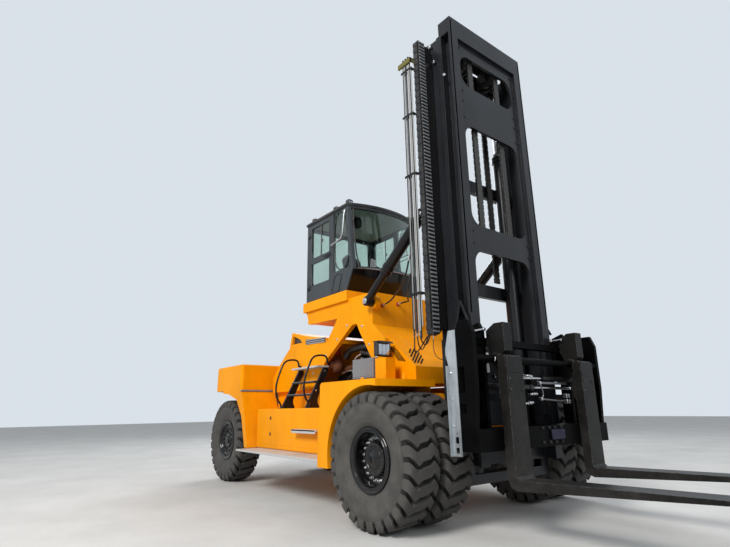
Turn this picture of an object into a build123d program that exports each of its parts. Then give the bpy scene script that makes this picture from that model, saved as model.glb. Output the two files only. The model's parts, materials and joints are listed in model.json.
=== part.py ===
from build123d import *
import os
from math import sqrt

os.makedirs("parts", exist_ok=True)

# Frame: +X towards the fork tips, +Y to the machine's left, +Z up, floor at z = 0.
# All lengths are millimetres. Places along X are first given from the drive axle.

# Driving dimensions of the whole machine
wheelbase = 5460
rear_overhang = 990
fork_face = 1405
fork_length = 2400
centre_shift = (wheelbase + rear_overhang - fork_face - fork_length) / 2
axle_x = centre_shift
steer_x = axle_x - wheelbase
rear_x = steer_x - rear_overhang
tip_x = axle_x + fork_face + fork_length

# Clearances
running = 0.06
rest_gap = 0.3
slide_gap = 5

# Half width over the mast's channels, and the inner tyres' distance from them
mast_y = 885
mast_tyre_gap = 30

# Tyres and rims, size 18.00-25, twins in front and singles behind
tyre_r = 810
tyre_w = 495
tyre_bore = 317
flange_r = 388
lug_depth = 42
lug_count = 22
twin_pitch = 575
inner_y = mast_y + mast_tyre_gap + tyre_w / 2
front_y = inner_y + twin_pitch
steer_y = 1285
wheel_z = tyre_r

# Chassis and bodywork
frame_y = 840
frame_plate = 40
frame_low = 720
frame_top = 1750
body_y = 950
deck_z = 1430
tank_y = 1420
fender_y = 1950
fender_top = 1770
fender_gap = 75
hood_top = 2570
slab_low = 3220
slab_top = 3400
slab_y = 1000
gantry_front = axle_x - 1100
cw_y = 1600
cw_low = 1810
cw_top = 2320
cw_front = axle_x - 4580
hood_rear = axle_x - 4450
spine_y = 420

# Cab
cab_y = 850
cab_rear = axle_x - 3330
cab_top = 5150
cab_post = 60
glass_t = 8
bulge = 200

# Mast
pivot_x = axle_x + 270
pivot_z = 550
pivot_r = 60
rail_w = 165
mast_rear = axle_x + 340
mast_split = axle_x + 620
mast_front = axle_x + 860
mast_low = 470
mast_top = 7060
mast_raise = 230
rail_wall = 40

# Carriage and forks
carriage_y = 1400
carriage_rear = axle_x + 930
carriage_low = 930
carriage_top = 2400
fork_y = 820
fork_w = 312
fork_t = 115
fork_top = 627
fork_rise = 45


def box(x0, x1, y0, y1, z0, z1, mode=Mode.ADD):
    """Adds a block between two corners."""
    with Locations(((x0 + x1) / 2, (y0 + y1) / 2, (z0 + z1) / 2)):
        Box(abs(x1 - x0), abs(y1 - y0), abs(z1 - z0), mode=mode)


def row_of_boxes(size, centres, mode=Mode.ADD):
    """Adds equal blocks at the given centres in one step."""
    with Locations(*centres):
        Box(*size, mode=mode)


def side_plate(points, y0, y1, mode=Mode.ADD):
    """Adds a plate with the given outline in X and Z, from y0 to y1."""
    with BuildSketch(Plane.XZ.offset(-y1)) as face:
        with BuildLine():
            Polyline(*points, close=True)
        make_face()
    extrude(face.sketch, amount=y1 - y0, mode=mode)


def cross_plate(points, x0, x1, mode=Mode.ADD):
    """Adds a plate with the given outline in Y and Z, from x0 to x1."""
    with BuildSketch(Plane.YZ.offset(x0)) as face:
        with BuildLine():
            Polyline(*points, close=True)
        make_face()
    extrude(face.sketch, amount=x1 - x0, mode=mode)


def plan_plate(points, z0, z1, mode=Mode.ADD):
    """Adds a plate with the given outline in X and Y, from z0 to z1."""
    with BuildSketch(Plane.XY.offset(z0)) as face:
        with BuildLine():
            Polyline(*points, close=True)
        make_face()
    extrude(face.sketch, amount=z1 - z0, mode=mode)


def bar(start, end, radius, mode=Mode.ADD):
    """Adds a round bar between two points."""
    run = Vector(*end) - Vector(*start)
    with BuildSketch(Plane(origin=start, z_dir=run)) as face:
        Circle(radius)
    extrude(face.sketch, amount=run.length, mode=mode)


def cross_bar(x, z, radius, y0, y1, mode=Mode.ADD):
    """Adds a round bar along Y."""
    bar((x, y0, z), (x, y1, z), radius, mode)


def turned(profile, x, z):
    """Adds a solid of revolution about the Y line through x, z, from an outline in Y and radius."""
    with BuildSketch(Plane.YZ.offset(x)) as face:
        with BuildLine():
            Polyline(*[(y, z + r) for y, r in profile], close=True)
        make_face()
    revolve(face.sketch, axis=Axis((x, 0, z), (0, 1, 0)))


def keep(name, solid):
    """Labels a finished piece and writes its file."""
    solid.label = name
    export_step(solid, "parts/" + name + ".step")


def mirrored(solid):
    """The same piece on the machine's other side."""
    return solid.mirror(Plane.XZ)


# Tyre: a carcass with one flat per lug, lofted from bead to bead, and a Z-shaped lug across each flat
bead_y = 175
crown_y = 232
wall_r = 600
crown_r = tyre_r - lug_depth
# Sections of the carcass: place across the tyre, radius to its flats
carcass_sections = [(-bead_y, flange_r + 4), (-tyre_w / 2, wall_r), (-crown_y, crown_r), (crown_y, crown_r),
    (tyre_w / 2, wall_r), (bead_y, flange_r + 4)]
# Lug's leading edge: place across the tread, distance ahead of its middle. The trailing edge is the same
# turned round
lug_edge = [(-crown_y, 28), (-62, 92), (crown_y, 88)]
with BuildPart() as tyre:
    for y, r in carcass_sections:
        with BuildSketch(Plane.XZ.offset(-y)):
            RegularPolygon(r, lug_count, major_radius=False, rotation=90 + 180 / lug_count)
    loft(ruled=True)
    with BuildSketch(Plane.XZ.offset(-tyre_w)):
        RegularPolygon(tyre_bore, lug_count // 2, major_radius=False)
    extrude(amount=2 * tyre_w, mode=Mode.SUBTRACT)
    with BuildPart(mode=Mode.PRIVATE) as lug:
        with BuildSketch(Plane.XY.offset(crown_r - 5)):
            with BuildLine():
                Polyline(*[(s, y) for y, s in lug_edge], *[(-s, -y) for y, s in lug_edge], close=True)
            make_face()
        extrude(amount=lug_depth + 5)
    add([lug.part.rotate(Axis.Y, i * 360 / lug_count) for i in range(lug_count)])


def wheel_tyres(x, centres):
    """Tyres of one wheel set, each at its own place along Y."""
    with BuildPart() as tyres:
        for y in centres:
            add(tyre.part.moved(Location((x, y, wheel_z))))
    return tyres.part


# Rims: barrel, bead flanges, disc and hub drum as one turned piece each
barrel_r = tyre_bore - rest_gap
barrel_t = 22
flange_y = 205
drive_stub_r = 100
hub_r = 200
disc_y = 1790
hub_end = 1850
axle_end = 1180


def tyre_seat(centre):
    """Barrel outline under one tyre, between the flanges that hold its beads."""
    step = bead_y + rest_gap
    return [(centre - step, flange_r), (centre - step, barrel_r), (centre + step, barrel_r),
        (centre + step, flange_r)]


with BuildPart() as front_rim:
    bore = barrel_r - barrel_t
    stub = drive_stub_r + running
    profile = [(inner_y - flange_y,
        flange_r)] + tyre_seat(inner_y) + tyre_seat(front_y) + [(front_y + flange_y, flange_r)]
    profile += [(front_y + flange_y, bore), (disc_y + 30, bore), (disc_y + 30, hub_r), (hub_end, hub_r),
        (hub_end, 0),
                (hub_end - 40, 0), (hub_end - 40, stub), (axle_end + 10, stub), (axle_end + 10, hub_r - 20),
                (disc_y, hub_r - 20), (disc_y, bore), (inner_y - flange_y, bore)]
    turned(profile, axle_x, wheel_z)

steer_stub_r = 70
steer_disc_y = 1400
steer_hub_r = 150
steer_hub_in = 1170
with BuildPart() as steer_rim:
    stub = steer_stub_r + running
    profile = [(steer_y - flange_y, flange_r)] + tyre_seat(steer_y) + [(steer_y + flange_y, flange_r)]
    profile += [(steer_y + flange_y, bore), (steer_disc_y + 25, bore), (steer_disc_y + 25, steer_hub_r),
                (steer_disc_y + 45, steer_hub_r), (steer_disc_y + 45, 0), (steer_disc_y + 10, 0),
                (steer_disc_y + 10, stub), (steer_hub_in, stub), (steer_hub_in, steer_hub_r),
                (steer_disc_y, steer_hub_r), (steer_disc_y, bore), (steer_y - flange_y, bore)]
    turned(profile, steer_x, wheel_z)

left_tyres = wheel_tyres(axle_x, (inner_y, front_y))
keep("front_left_tyres", left_tyres)
keep("front_right_tyres", mirrored(left_tyres))
keep("front_left_rims", front_rim.part)
keep("front_right_rims", mirrored(front_rim.part))
left_tyre = wheel_tyres(steer_x, (steer_y,))
keep("rear_left_tyre", left_tyre)
keep("rear_right_tyre", mirrored(left_tyre))
keep("rear_left_rim", steer_rim.part)
keep("rear_right_rim", mirrored(steer_rim.part))

# Drive axle: differential bowl, tubes, brake drums and the stubs that carry the hubs
with BuildPart() as drive_axle:
    drum_in, drum_r, tube_r = 930, 240, 150
    half = [(0, 330), (180, 330), (330, 210), (380, tube_r), (drum_in, tube_r), (drum_in, drum_r),
            (axle_end, drum_r), (axle_end, drive_stub_r), (hub_end - 50, drive_stub_r), (hub_end - 50, 0)]
    outline = [(-y, r) for y, r in reversed(half[1:])] + half[1:]
    turned(outline, axle_x, wheel_z)
    for side in (-1, 1):
        box(axle_x - 150, axle_x + 110, side * (frame_y - frame_plate), side * frame_y, wheel_z, 1000)
keep("drive_axle", drive_axle.part)

# Steering axle: box beam with an eye at each end for the kingpin
kingpin_y = 980
kingpin_r = 45
eye_r = 95
eye_low, eye_high = 720, 900
with BuildPart() as steer_axle:
    box(steer_x - 140, steer_x + 140, -780, 780, 640, 960)
    for side in (-1, 1):
        box(steer_x - 80, steer_x + 80, side * 780, side * kingpin_y, eye_low, eye_high)
        bar((steer_x, side * kingpin_y, eye_low), (steer_x, side * kingpin_y, eye_high), eye_r)
        bar((steer_x, side * kingpin_y, eye_low), (steer_x, side * kingpin_y, eye_high),
            kingpin_r + running, Mode.SUBTRACT)
    bar((steer_x - 200, -420, wheel_z), (steer_x - 200, 420, wheel_z), 75)
    box(steer_x - 220, steer_x + 220, -140, 140, 960, 1000)
keep("steer_axle", steer_axle.part)

# Knuckle: two ears round the beam's eye, kingpin, back plate and stub
ear_t = 70
with BuildPart() as knuckle:
    for low, high in ((eye_low - ear_t - slide_gap, eye_low - slide_gap), (eye_high + slide_gap,
        eye_high + ear_t + slide_gap)):
        bar((steer_x, kingpin_y, low), (steer_x, kingpin_y, high), eye_r - 5)
        box(steer_x - 80, steer_x + 80, kingpin_y, steer_hub_in - 60, low, high)
    bar((steer_x, kingpin_y, eye_low - ear_t - slide_gap), (steer_x, kingpin_y,
        eye_high + ear_t + slide_gap), kingpin_r)
    box(steer_x - 80, steer_x + 80, kingpin_y + eye_r + slide_gap, steer_hub_in - 10,
        eye_low - ear_t - slide_gap,
        eye_high + ear_t + slide_gap)
    cross_bar(steer_x, wheel_z, steer_stub_r, steer_hub_in - 20, steer_disc_y)
keep("left_knuckle", knuckle.part)
keep("right_knuckle", mirrored(knuckle.part))

# Chassis: side plates, cross members, belly, spine over the steering axle and mast clevises
frame_front = axle_x - 20
frame_rear = cw_front + 180
clevis_in, clevis_out = 560, 680
ear_in, ear_out = 700, 840
with BuildPart() as chassis:
    outline = [(frame_front, 1000), (frame_front, frame_top), (frame_rear, frame_top),
        (frame_rear, frame_low),
               (axle_x - 1100, frame_low), (axle_x - 760, 1000)]
    side_plate(outline, frame_y - frame_plate, frame_y)
    nose = [(axle_x - 300, 1000), (axle_x + 110, 1000), (axle_x + 190, 800), (axle_x + 190, 460),
        (pivot_x + 75, 460),
            (pivot_x + 75, 760), (axle_x + 140, 1250), (frame_front, 1600), (axle_x - 300, 1600)]
    side_plate(nose, clevis_in, clevis_out)
    box(axle_x - 300, axle_x - 240, clevis_in, frame_y - 1, 1000, 1600)
    mirror(about=Plane.XZ)
    for x, low, high in ((-280, 1100, 1600), (-1100, 760, 1200), (-2900, 760, 1200)):
        box(axle_x + x, axle_x + x + 60, -frame_y + 1, frame_y - 1, low, high)
    box(frame_rear, axle_x - 1100, -frame_y + 1, frame_y - 1, frame_low, frame_low + 25)
    box(frame_rear, frame_rear + 60, -frame_y + 1, frame_y - 1, frame_low, frame_top)
    box(rear_x + 350, frame_rear + 1, -spine_y, spine_y, 1000 + rest_gap, frame_top - 10)
    box(rear_x + 350, hood_rear - 20, -spine_y, spine_y, frame_top - 11, cw_low - rest_gap)
    cross_bar(pivot_x, pivot_z, pivot_r, clevis_out - 1, ear_out + 20)
    cross_bar(pivot_x, pivot_z, pivot_r, -ear_out - 20, -clevis_out + 1)
keep("chassis_frame", chassis.part)

# Counterweight: wide block with raked rear corners, wheel arch walls and a centre mass
cw_corner_x = axle_x - 5860
cw_tail_y = 1050
tow_z, tow_slot, tow_t, tow_r, tow_y, tow_reach = 1240, 90, 35, 21, 75, 130
with BuildPart() as counterweight:
    plan = [(cw_front, -cw_y), (cw_corner_x, -cw_y), (rear_x, -cw_tail_y), (rear_x, cw_tail_y),
        (cw_corner_x, cw_y),
            (cw_front, cw_y)]
    plan_plate(plan, cw_low, cw_top)
    fillet(counterweight.edges().filter_by(Axis.Z), 60)
    chamfer(counterweight.faces().sort_by(Axis.Z)[-1].edges().filter_by(GeomType.LINE), 25)
    arch = [(-5500, cw_low + 1), (-4580, cw_low + 1), (-4400, deck_z - 10), (-4160, frame_low),
        (-4300, frame_low),
            (-4380, 950), (-4500, 1300), (-4780, 1620), (-5200, 1740), (-5500, 1760)]
    points = [(axle_x + x, z) for x, z in arch]
    side_plate(points, frame_y + slide_gap, cw_y)
    side_plate(points, -cw_y, -frame_y - slide_gap)
    box(rear_x + tow_reach, rear_x + 350 - rest_gap, -spine_y, spine_y, 760, cw_low + 1)
    for z in (tow_z - tow_slot / 2 - tow_t, tow_z + tow_slot / 2):
        box(rear_x + 10, rear_x + tow_reach + 1, -tow_y, tow_y, z, z + tow_t)
    bar((rear_x + 60, 0, 1000), (rear_x + 60, 0, 1500), tow_r, Mode.SUBTRACT)
keep("counterweight", counterweight.part)

# Side tanks between the wheel arches, with a sunken panel and a bolt-on step
tank_rear, tank_front = axle_x - 4140, axle_x - 1150
step_z = 1090
with BuildPart() as tanks:
    box(tank_rear, tank_front, frame_y + rest_gap, tank_y, frame_low, deck_z)
    fillet(tanks.edges().filter_by(Axis.X).sort_by(Axis.Y)[-2:], 30)
    box(axle_x - 2580, axle_x - 1840, tank_y - 1, tank_y + 130, step_z - 25, step_z)
    mirror(about=Plane.XZ)
keep("side_tanks", tanks.part)

# Running boards: tread plates under the tanks
board_y = 1860
with BuildPart() as boards:
    box(tank_rear + 60, tank_front - 10, frame_y + 60, board_y, frame_low - 32, frame_low - rest_gap)
    mirror(about=Plane.XZ)
keep("running_boards", boards.part)

# Front fenders: a box over the rear half of the twin tyres with a round arch
fender_rear = axle_x - 1130
fender_lip = axle_x + 170
arch_r = tyre_r + fender_gap
with BuildPart() as fenders:
    outline = [(fender_lip, fender_top), (fender_rear + 50, fender_top), (fender_rear + 50, deck_z + 5),
        (fender_rear, deck_z - 200), (fender_rear, 640), (axle_x, 640), (axle_x, wheel_z),
        (fender_lip, wheel_z)]
    side_plate(outline, frame_y + 60, fender_y)
    fillet(fenders.edges().filter_by(Axis.Y).group_by(Axis.X)[1].sort_by(Axis.Z)[-1], 60)
    cross_bar(axle_x, wheel_z, arch_r, frame_y, fender_y + 1, Mode.SUBTRACT)
    box(axle_x - 300, fender_lip + 1, frame_y, fender_y + 1, 600, wheel_z + 1, Mode.SUBTRACT)
    box(frame_front - 600, frame_front, frame_y + rest_gap, frame_y + 61, 1700, frame_top)
    box(axle_x - 720, axle_x - 480, 1040, 1220, fender_top - 1, 2120)
    mirror(about=Plane.XZ)
keep("front_fenders", fenders.part)

# Hood: closed body over the cooling pack with a raised louvred lid
hood_y = body_y
with BuildPart() as hood:
    outline = [(-4250, 2250), (-3820, hood_top), (-2700, hood_top), (-3000, 2200),
        (-3000, frame_top + rest_gap)]
    points = [(hood_rear, frame_top + rest_gap), (hood_rear, 2050)] + [(axle_x + x, z) for x, z in outline]
    side_plate(points, -hood_y, hood_y)
    outline = [(-3800, hood_top - 1), (-3700, 2900), (-3150, 2770), (-2440, 2650), (-2440, hood_top),
        (-2701, hood_top)]
    side_plate([(axle_x + x, z) for x, z in outline], -hood_y, hood_y)
    window = [(-3700, 2660), (-3660, 2830), (-3400, 2740), (-3300, 2660)]
    for side in (-1, 1):
        y0, y1 = sorted((side * (hood_y - 60), side * (hood_y + 1)))
        side_plate([(axle_x + x, z) for x, z in window], y0, y1, Mode.SUBTRACT)
        for i in range(4):
            box(axle_x - 3120, axle_x - 2520, y0, y1, 2592 + 14 * i, 2600 + 14 * i, Mode.SUBTRACT)
keep("hood", hood.part)

# Gantry: side plates with the triangular opening, cross walls and the cab's slab
plate_t = 80
with BuildPart() as gantry:
    outline = [(-1100, slab_low), (-3150, slab_low), (-3060, 2980), (-2100, 2950), (-2400, 2610),
        (-2435, hood_top - 2),
               (-2695, hood_top - 2), (-2995, 2200), (-2995, fender_top + rest_gap), (-800,
                   fender_top + rest_gap),
               (-800, 2450), (-1100, 2720)]
    opening = [(-2760, frame_top + 90), (-2490, 2220), (-1760, 2710), (-1640, 2780), (-1530, 2780),
        (-1460, 2650),
               (-1130, 2150), (-1060, frame_top + 90)]
    side_plate([(axle_x + x, z) for x, z in outline], body_y - plate_t, body_y)
    side_plate([(axle_x + x, z) for x, z in opening], body_y - plate_t - 1, body_y + 1, Mode.SUBTRACT)
    for x0, x1 in ((-2990, -2760), (-1050, -840)):
        box(axle_x + x0, axle_x + x1, frame_y - 60, frame_y + 55, frame_top + rest_gap, fender_top + 40)
    mirror(about=Plane.XZ)
    box(gantry_front - 40, gantry_front, -body_y + 1, body_y - 1, 2700, slab_low)
    box(axle_x - 3100, axle_x - 2100, -body_y + 1, body_y - 1, 3000, 3040)
    box(axle_x - 3200, axle_x - 1750, -slab_y, slab_y, slab_low, slab_top)
    box(axle_x - 1751, gantry_front, -body_y, body_y, slab_low, slab_low + 30)
tilt_pin = (axle_x - 1080, 3070)
tilt_y = 1065
tilt_pin_r = 38
boss_y = body_y + 12
with BuildPart() as gantry_full:
    add(gantry.part)
    cross_bar(*tilt_pin, 110, body_y - plate_t + 2, boss_y)
    cross_bar(*tilt_pin, 110, -boss_y, -body_y + plate_t - 2)
keep("gantry", gantry_full.part)

# Front cowl: folded sheet between gantry and mast, with two groups of louvres
cowl_y = 868
sheet = 20
with BuildPart() as cowl:
    back = -1100 + rest_gap
    outer = [(back, 2710), (-620, 2320), (-230, 1990), (-230, frame_top + rest_gap),
        (-790, frame_top + rest_gap), (back, 2200)]
    inner = [(-1060, 2650), (-640, 2305), (-250, 1975), (-250, frame_top + 30), (-780, frame_top + 30),
        (-1060, 2200)]
    side_plate([(axle_x + x, z) for x, z in outer], -cowl_y, cowl_y)
    side_plate([(axle_x + x, z) for x, z in inner], -cowl_y + sheet, cowl_y - sheet, Mode.SUBTRACT)
    for y0, count, pitch in ((-830, 5, 42), (-520, 5, 42), (330, 5, 42), (640, 5, 42)):
        for i in range(count):
            box(axle_x - 900, axle_x - 480, y0 + i * pitch, y0 + i * pitch + 16, 2150, 2700, Mode.SUBTRACT)
keep("front_cowl", cowl.part)

# Engine as one plain block on its cross members, below the gantry
with BuildPart() as engine:
    box(axle_x - 2840, axle_x - 1250, -430, 430, 1200 + rest_gap, 2250)
    box(axle_x - 2500, axle_x - 1500, -300, 300, 2250, 2400)
keep("engine_block", engine.part)

# Control box beside the gantry's front leg, on the fender
box_rear, box_front = axle_x - 1280, axle_x - 760
with BuildPart() as control_box:
    box(box_rear, box_front, -1230, -body_y - rest_gap, 1850, 2140)
    fillet(control_box.edges().filter_by(Axis.Z), 15)
    box(box_rear + 50, box_front - 50, -1200, -1000, fender_top + rest_gap, 1851)
keep("control_box", control_box.part)

# Cab: hollow shell with posts, lower walls, floor and roof, and a front bowed in plan
cab_low = slab_top + rest_gap
sill_z = 3840
door_rear, door_front = cab_rear + 20, axle_x - 2450
roof_t = 90
roof_low = cab_top - roof_t
hinge_x, hinge_y = door_rear + 63, cab_y + 16
hinge_heights = (3750, 4850)
front_x = axle_x - 1760
screen_rake = (axle_x - 1930 - front_x) / (cab_top - sill_z)
nose_rake = (front_x - axle_x + 1990) / (sill_z - cab_low)
seat_top = 3800


def cab_front(inset, low, high, mode=Mode.ADD):
    """Adds the cab's outline, inset from its outside: the bowed front leans back above and below the sill."""
    y = cab_y - inset
    for z0, z1, rake in ((max(low, sill_z), high, screen_rake), (low, min(high, sill_z), nose_rake)):
        if z1 > z0:
            x = front_x - inset + rake * (z0 - sill_z)
            with BuildSketch(Plane.XY.offset(z0)) as face:
                with BuildLine():
                    Polyline((x, -y), (cab_rear + inset - 600, -y), (cab_rear + inset - 600, y), (x, y))
                    ThreePointArc((x, y), (x + bulge, 0), (x, -y))
                make_face()
            extrude(face.sketch, amount=(z1 - z0) * sqrt(1 + rake ** 2), dir=(rake, 0, 1), mode=mode)


with BuildPart() as cab:
    cab_front(0, cab_low, cab_top)
    with BuildPart(mode=Mode.SUBTRACT):
        cab_front(cab_post, cab_low + 60, roof_low)
        box(cab_rear - 1000, cab_rear + cab_post, -cab_y, cab_y, cab_low, cab_top, Mode.SUBTRACT)
    box(cab_rear - 1000, cab_rear, -cab_y - 1, cab_y + 1, cab_low - 1, cab_top + 1, Mode.SUBTRACT)
    # door openings, quarter windows, windscreen and rear window
    box(door_rear + 60, door_front, -cab_y - 1, cab_y + 1, cab_low + 60, roof_low, Mode.SUBTRACT)
    quarter = [(axle_x - 2380, sill_z + 40), (axle_x - 2380, roof_low), (axle_x - 1990, roof_low),
        (front_x - 70, sill_z + 40)]
    side_plate(quarter, -cab_y - 1, cab_y + 1, Mode.SUBTRACT)
    box(front_x - 300, front_x + 2 * bulge, -cab_y + cab_post, cab_y - cab_post, sill_z, roof_low,
        Mode.SUBTRACT)
    box(cab_rear - 1, cab_rear + 100, -cab_y + 120, cab_y - 120, sill_z, roof_low - 60, Mode.SUBTRACT)
    box(axle_x - 2950, axle_x - 2500, -230, 230, cab_low + 59, seat_top)
    # hinge pins of both doors on leaves behind the openings
    for z in hinge_heights:
        for side in (-1, 1):
            for low, high in ((z - 45, z - 26), (z + 26, z + 45)):
                y0, y1 = sorted((side * (cab_y - 1), side * (cab_y + 12)))
                box(hinge_x - 60, hinge_x, y0, y1, low, high)
                bar((hinge_x, side * hinge_y, low), (hinge_x, side * hinge_y, high), 14)
            bar((hinge_x, side * hinge_y, z - 30), (hinge_x, side * hinge_y, z + 30), 8)
keep("cab_shell", cab.part)

# Fixed glass in its openings
with BuildPart() as glass:
    with BuildPart():
        cab_front(15, sill_z + rest_gap, roof_low - rest_gap)
        cab_front(15 + glass_t, sill_z, roof_low, Mode.SUBTRACT)
        box(front_x - 300, front_x + 2 * bulge, -cab_y + cab_post + rest_gap, cab_y - cab_post - rest_gap,
            sill_z + rest_gap, roof_low - rest_gap, Mode.INTERSECT)
    quarter_in = [(x + dx, z + dz) for (x, z), dx, dz in zip(quarter, (rest_gap, rest_gap, -rest_gap,
        -rest_gap),
                                                     (rest_gap, -rest_gap, -rest_gap, rest_gap))]
    side_plate(quarter_in, cab_y - 30, cab_y - 30 + glass_t)
    side_plate(quarter_in, -cab_y + 30 - glass_t, -cab_y + 30)
    box(cab_rear + 20, cab_rear + 20 + glass_t, -cab_y + 120 + rest_gap, cab_y - 120 - rest_gap,
        sill_z + rest_gap,
        roof_low - 60 - rest_gap)
keep("cab_glass", glass.part)

# Doors, hinged at their rear edge
door_t = 45
door_gap = 6
with BuildPart() as door:
    x0, x1 = door_rear + 60 + door_gap, door_front - door_gap
    z0, z1 = cab_low + 60 + door_gap, roof_low - door_gap
    box(x0, x1, cab_y - door_t, cab_y, z0, z1)
    box(x0 + 60, x1 - 60, cab_y - door_t - 1, cab_y + 1, 4330, z1 - 60, Mode.SUBTRACT)
    box(x0 + 60, x1 - 60, cab_y - door_t - 1, cab_y + 1, z0 + 300, 4230, Mode.SUBTRACT)
    box(x1 - 50, x1 - 20, cab_y - 1, cab_y + 40, 4255, 4300)
    for z in hinge_heights:
        box(hinge_x, hinge_x + 60, cab_y - 1, cab_y + 12, z - 25, z + 25)
        bar((hinge_x, hinge_y, z - 25), (hinge_x, hinge_y, z + 25), 16)
        bar((hinge_x, hinge_y, z - 26), (hinge_x, hinge_y, z + 26), 8 + running, Mode.SUBTRACT)
with BuildPart() as door_glass:
    for low, high in ((4330, z1 - 60), (z0 + 300, 4230)):
        box(x0 + 60 + rest_gap, x1 - 60 - rest_gap, cab_y - 30, cab_y - 30 + glass_t, low + rest_gap,
            high - rest_gap)
keep("left_door", door.part)
keep("right_door", mirrored(door.part))
keep("left_door_glass", door_glass.part)
keep("right_door_glass", mirrored(door_glass.part))

# Driver's cushion, console and steering wheel
with BuildPart() as seat:
    outline = [(-2980, seat_top + rest_gap), (-2480, seat_top + rest_gap), (-2460, 3900), (-2820, 3920),
        (-2960, 4480),
               (-3060, 4470)]
    side_plate([(axle_x + x, z) for x, z in outline], -250, 250)
keep("driver_cushion", seat.part)
with BuildPart() as console:
    outline = [(-2130, cab_low + 60 + rest_gap), (-2110, 3620), (-2000, 3760), (-2240, 3830), (-2260, 3700),
               (-2200, cab_low + 60 + rest_gap)]
    side_plate([(axle_x + x, z) for x, z in outline], -260, 260)
    column_foot, column_head = (axle_x - 2200, 0, 3750), (axle_x - 2300, 0, 3990)
    bar(column_foot, column_head, 30)
    with BuildSketch(Plane(origin=column_head, z_dir=(-0.38, 0, 0.92))):
        RegularPolygon(200, 24)
        RegularPolygon(170, 24, mode=Mode.SUBTRACT)
        Rectangle(350, 30)
        Rectangle(30, 350)
        RegularPolygon(60, 12)
    extrude(amount=26)
keep("console", console.part)

# Ladders: raked black stringers with a silver top tread, one set each side
ladder_rear, ladder_front = axle_x - 3240, axle_x - 2400
stringer = [(1395, deck_z + rest_gap), (1130, deck_z + rest_gap), (1135, 1465), (1160, 1510),
    (1165, 1570), (1140, 1650),
            (body_y + rest_gap, 2060), (body_y + rest_gap, 2120), (1040, 2120), (1370, 1490)]
with BuildPart() as ladders:
    for x in (ladder_rear, ladder_front):
        cross_plate(stringer, x - 20, x + 20)
    for z, y0, y1 in ((1640, 1130, 1290), (1860, 1040, 1200)):
        box(ladder_rear + 19, ladder_front - 19, y0, y1, z, z + 25)
    mirror(about=Plane.XZ)
keep("ladders", ladders.part)
with BuildPart() as treads:
    box(ladder_rear - 40, ladder_front + 40, body_y + rest_gap, 1180, 2120 + rest_gap, 2150)
    mirror(about=Plane.XZ)
keep("top_treads", treads.part)

# Handrails: bent tube loops in front of and behind each ladder
rail_r = 17
rail_path = [(1365, deck_z + rest_gap), (1365, 1500), (1450, 1600), (1475, 1700), (1475, 1880),
    (1360, 2200), (1290, 2290),
             (1180, 2320), (1060, 2320), (1010, 2270), (1010, 2170)]
with BuildPart() as handrails:
    for x in (ladder_rear - 75, ladder_front + 75):
        with BuildLine() as path:
            Polyline(*[(x, y, z) for y, z in rail_path])
        with BuildSketch(Plane(origin=path.line @ 0, z_dir=path.line % 0)):
            RegularPolygon(rail_r, 8)
        sweep(path=path.line, transition=Transition.RIGHT)
        box(x - 17, x + 17, body_y + rest_gap, 1010, 2180, 2214)
    mirror(about=Plane.XZ)
keep("handrails", handrails.part)

# Work lamps on the cowl corners and cab roof
with BuildPart() as lamps:
    box(axle_x - 780, axle_x - 690, 970, 1150, 2180, 2360)
    box(axle_x - 798, axle_x - 779, body_y + rest_gap, 1060, 2230, 2310)
    box(axle_x - 800, axle_x - 650, 950 + rest_gap, 1170, 2360, 2375)
    mirror(about=Plane.XZ)
    for x, y in ((-3230, 700), (-2450, 700), (-2030, 700)):
        box(axle_x + x, axle_x + x + 90, y, y + 110, cab_top + rest_gap, cab_top + 90)
        box(axle_x + x, axle_x + x + 90, -y - 110, -y, cab_top + rest_gap, cab_top + 90)
keep("work_lamps", lamps.part)

# Outer mast: two channels open inwards, ears on the pivot pins, rear cross members
channel_in = mast_y - rail_w
lift_x, lift_y = axle_x + 490, 560
foot_top = 590
web_set = 18
head_pin = (axle_x + 230, 4120)
with BuildPart() as outer_mast:
    box(mast_rear, mast_split - slide_gap, channel_in, mast_y, mast_low, mast_top)
    box(mast_rear + rail_wall, mast_split - slide_gap - rail_wall, channel_in - 1, mast_y - rail_wall,
        mast_low - 1, mast_top + 1, Mode.SUBTRACT)
    box(mast_rear + rail_wall + 5, mast_split - slide_gap - rail_wall - 5, mast_y - web_set, mast_y + 1,
        1000, mast_top + 1, Mode.SUBTRACT)
    ear = [(pivot_x - 110, pivot_z - 80), (pivot_x - 110, pivot_z + 90), (mast_rear + 1, pivot_z + 330),
        (mast_rear + 1, pivot_z - 80)]
    side_plate(ear, ear_in, ear_out)
    cross_bar(pivot_x, pivot_z, pivot_r + running, ear_in - 1, ear_out + 1, Mode.SUBTRACT)
    # bracket and pin of the tilt cylinder
    ear = [(head_pin[0] - 90, head_pin[1] - 90), (head_pin[0] - 90, head_pin[1] + 90),
        (mast_rear + 100, head_pin[1] + 260), (mast_rear + 100, head_pin[1] - 260)]
    side_plate(ear, mast_y - web_set - 1, mast_y + 35)
    cross_bar(*head_pin, tilt_pin_r, mast_y + 30, tilt_y + 50)
    mirror(about=Plane.XZ)
    for z0, z1 in ((1150, 2300), (3000, 3200), (4700, 4900), (6700, 7000)):
        box(mast_rear - 40, mast_rear + 40, -mast_y + 20, mast_y - 20, z0, z1)
    box(lift_x - 90, mast_split - slide_gap, -mast_y + 20, mast_y - 20, mast_low, foot_top)
keep("outer_mast", outer_mast.part)

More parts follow.
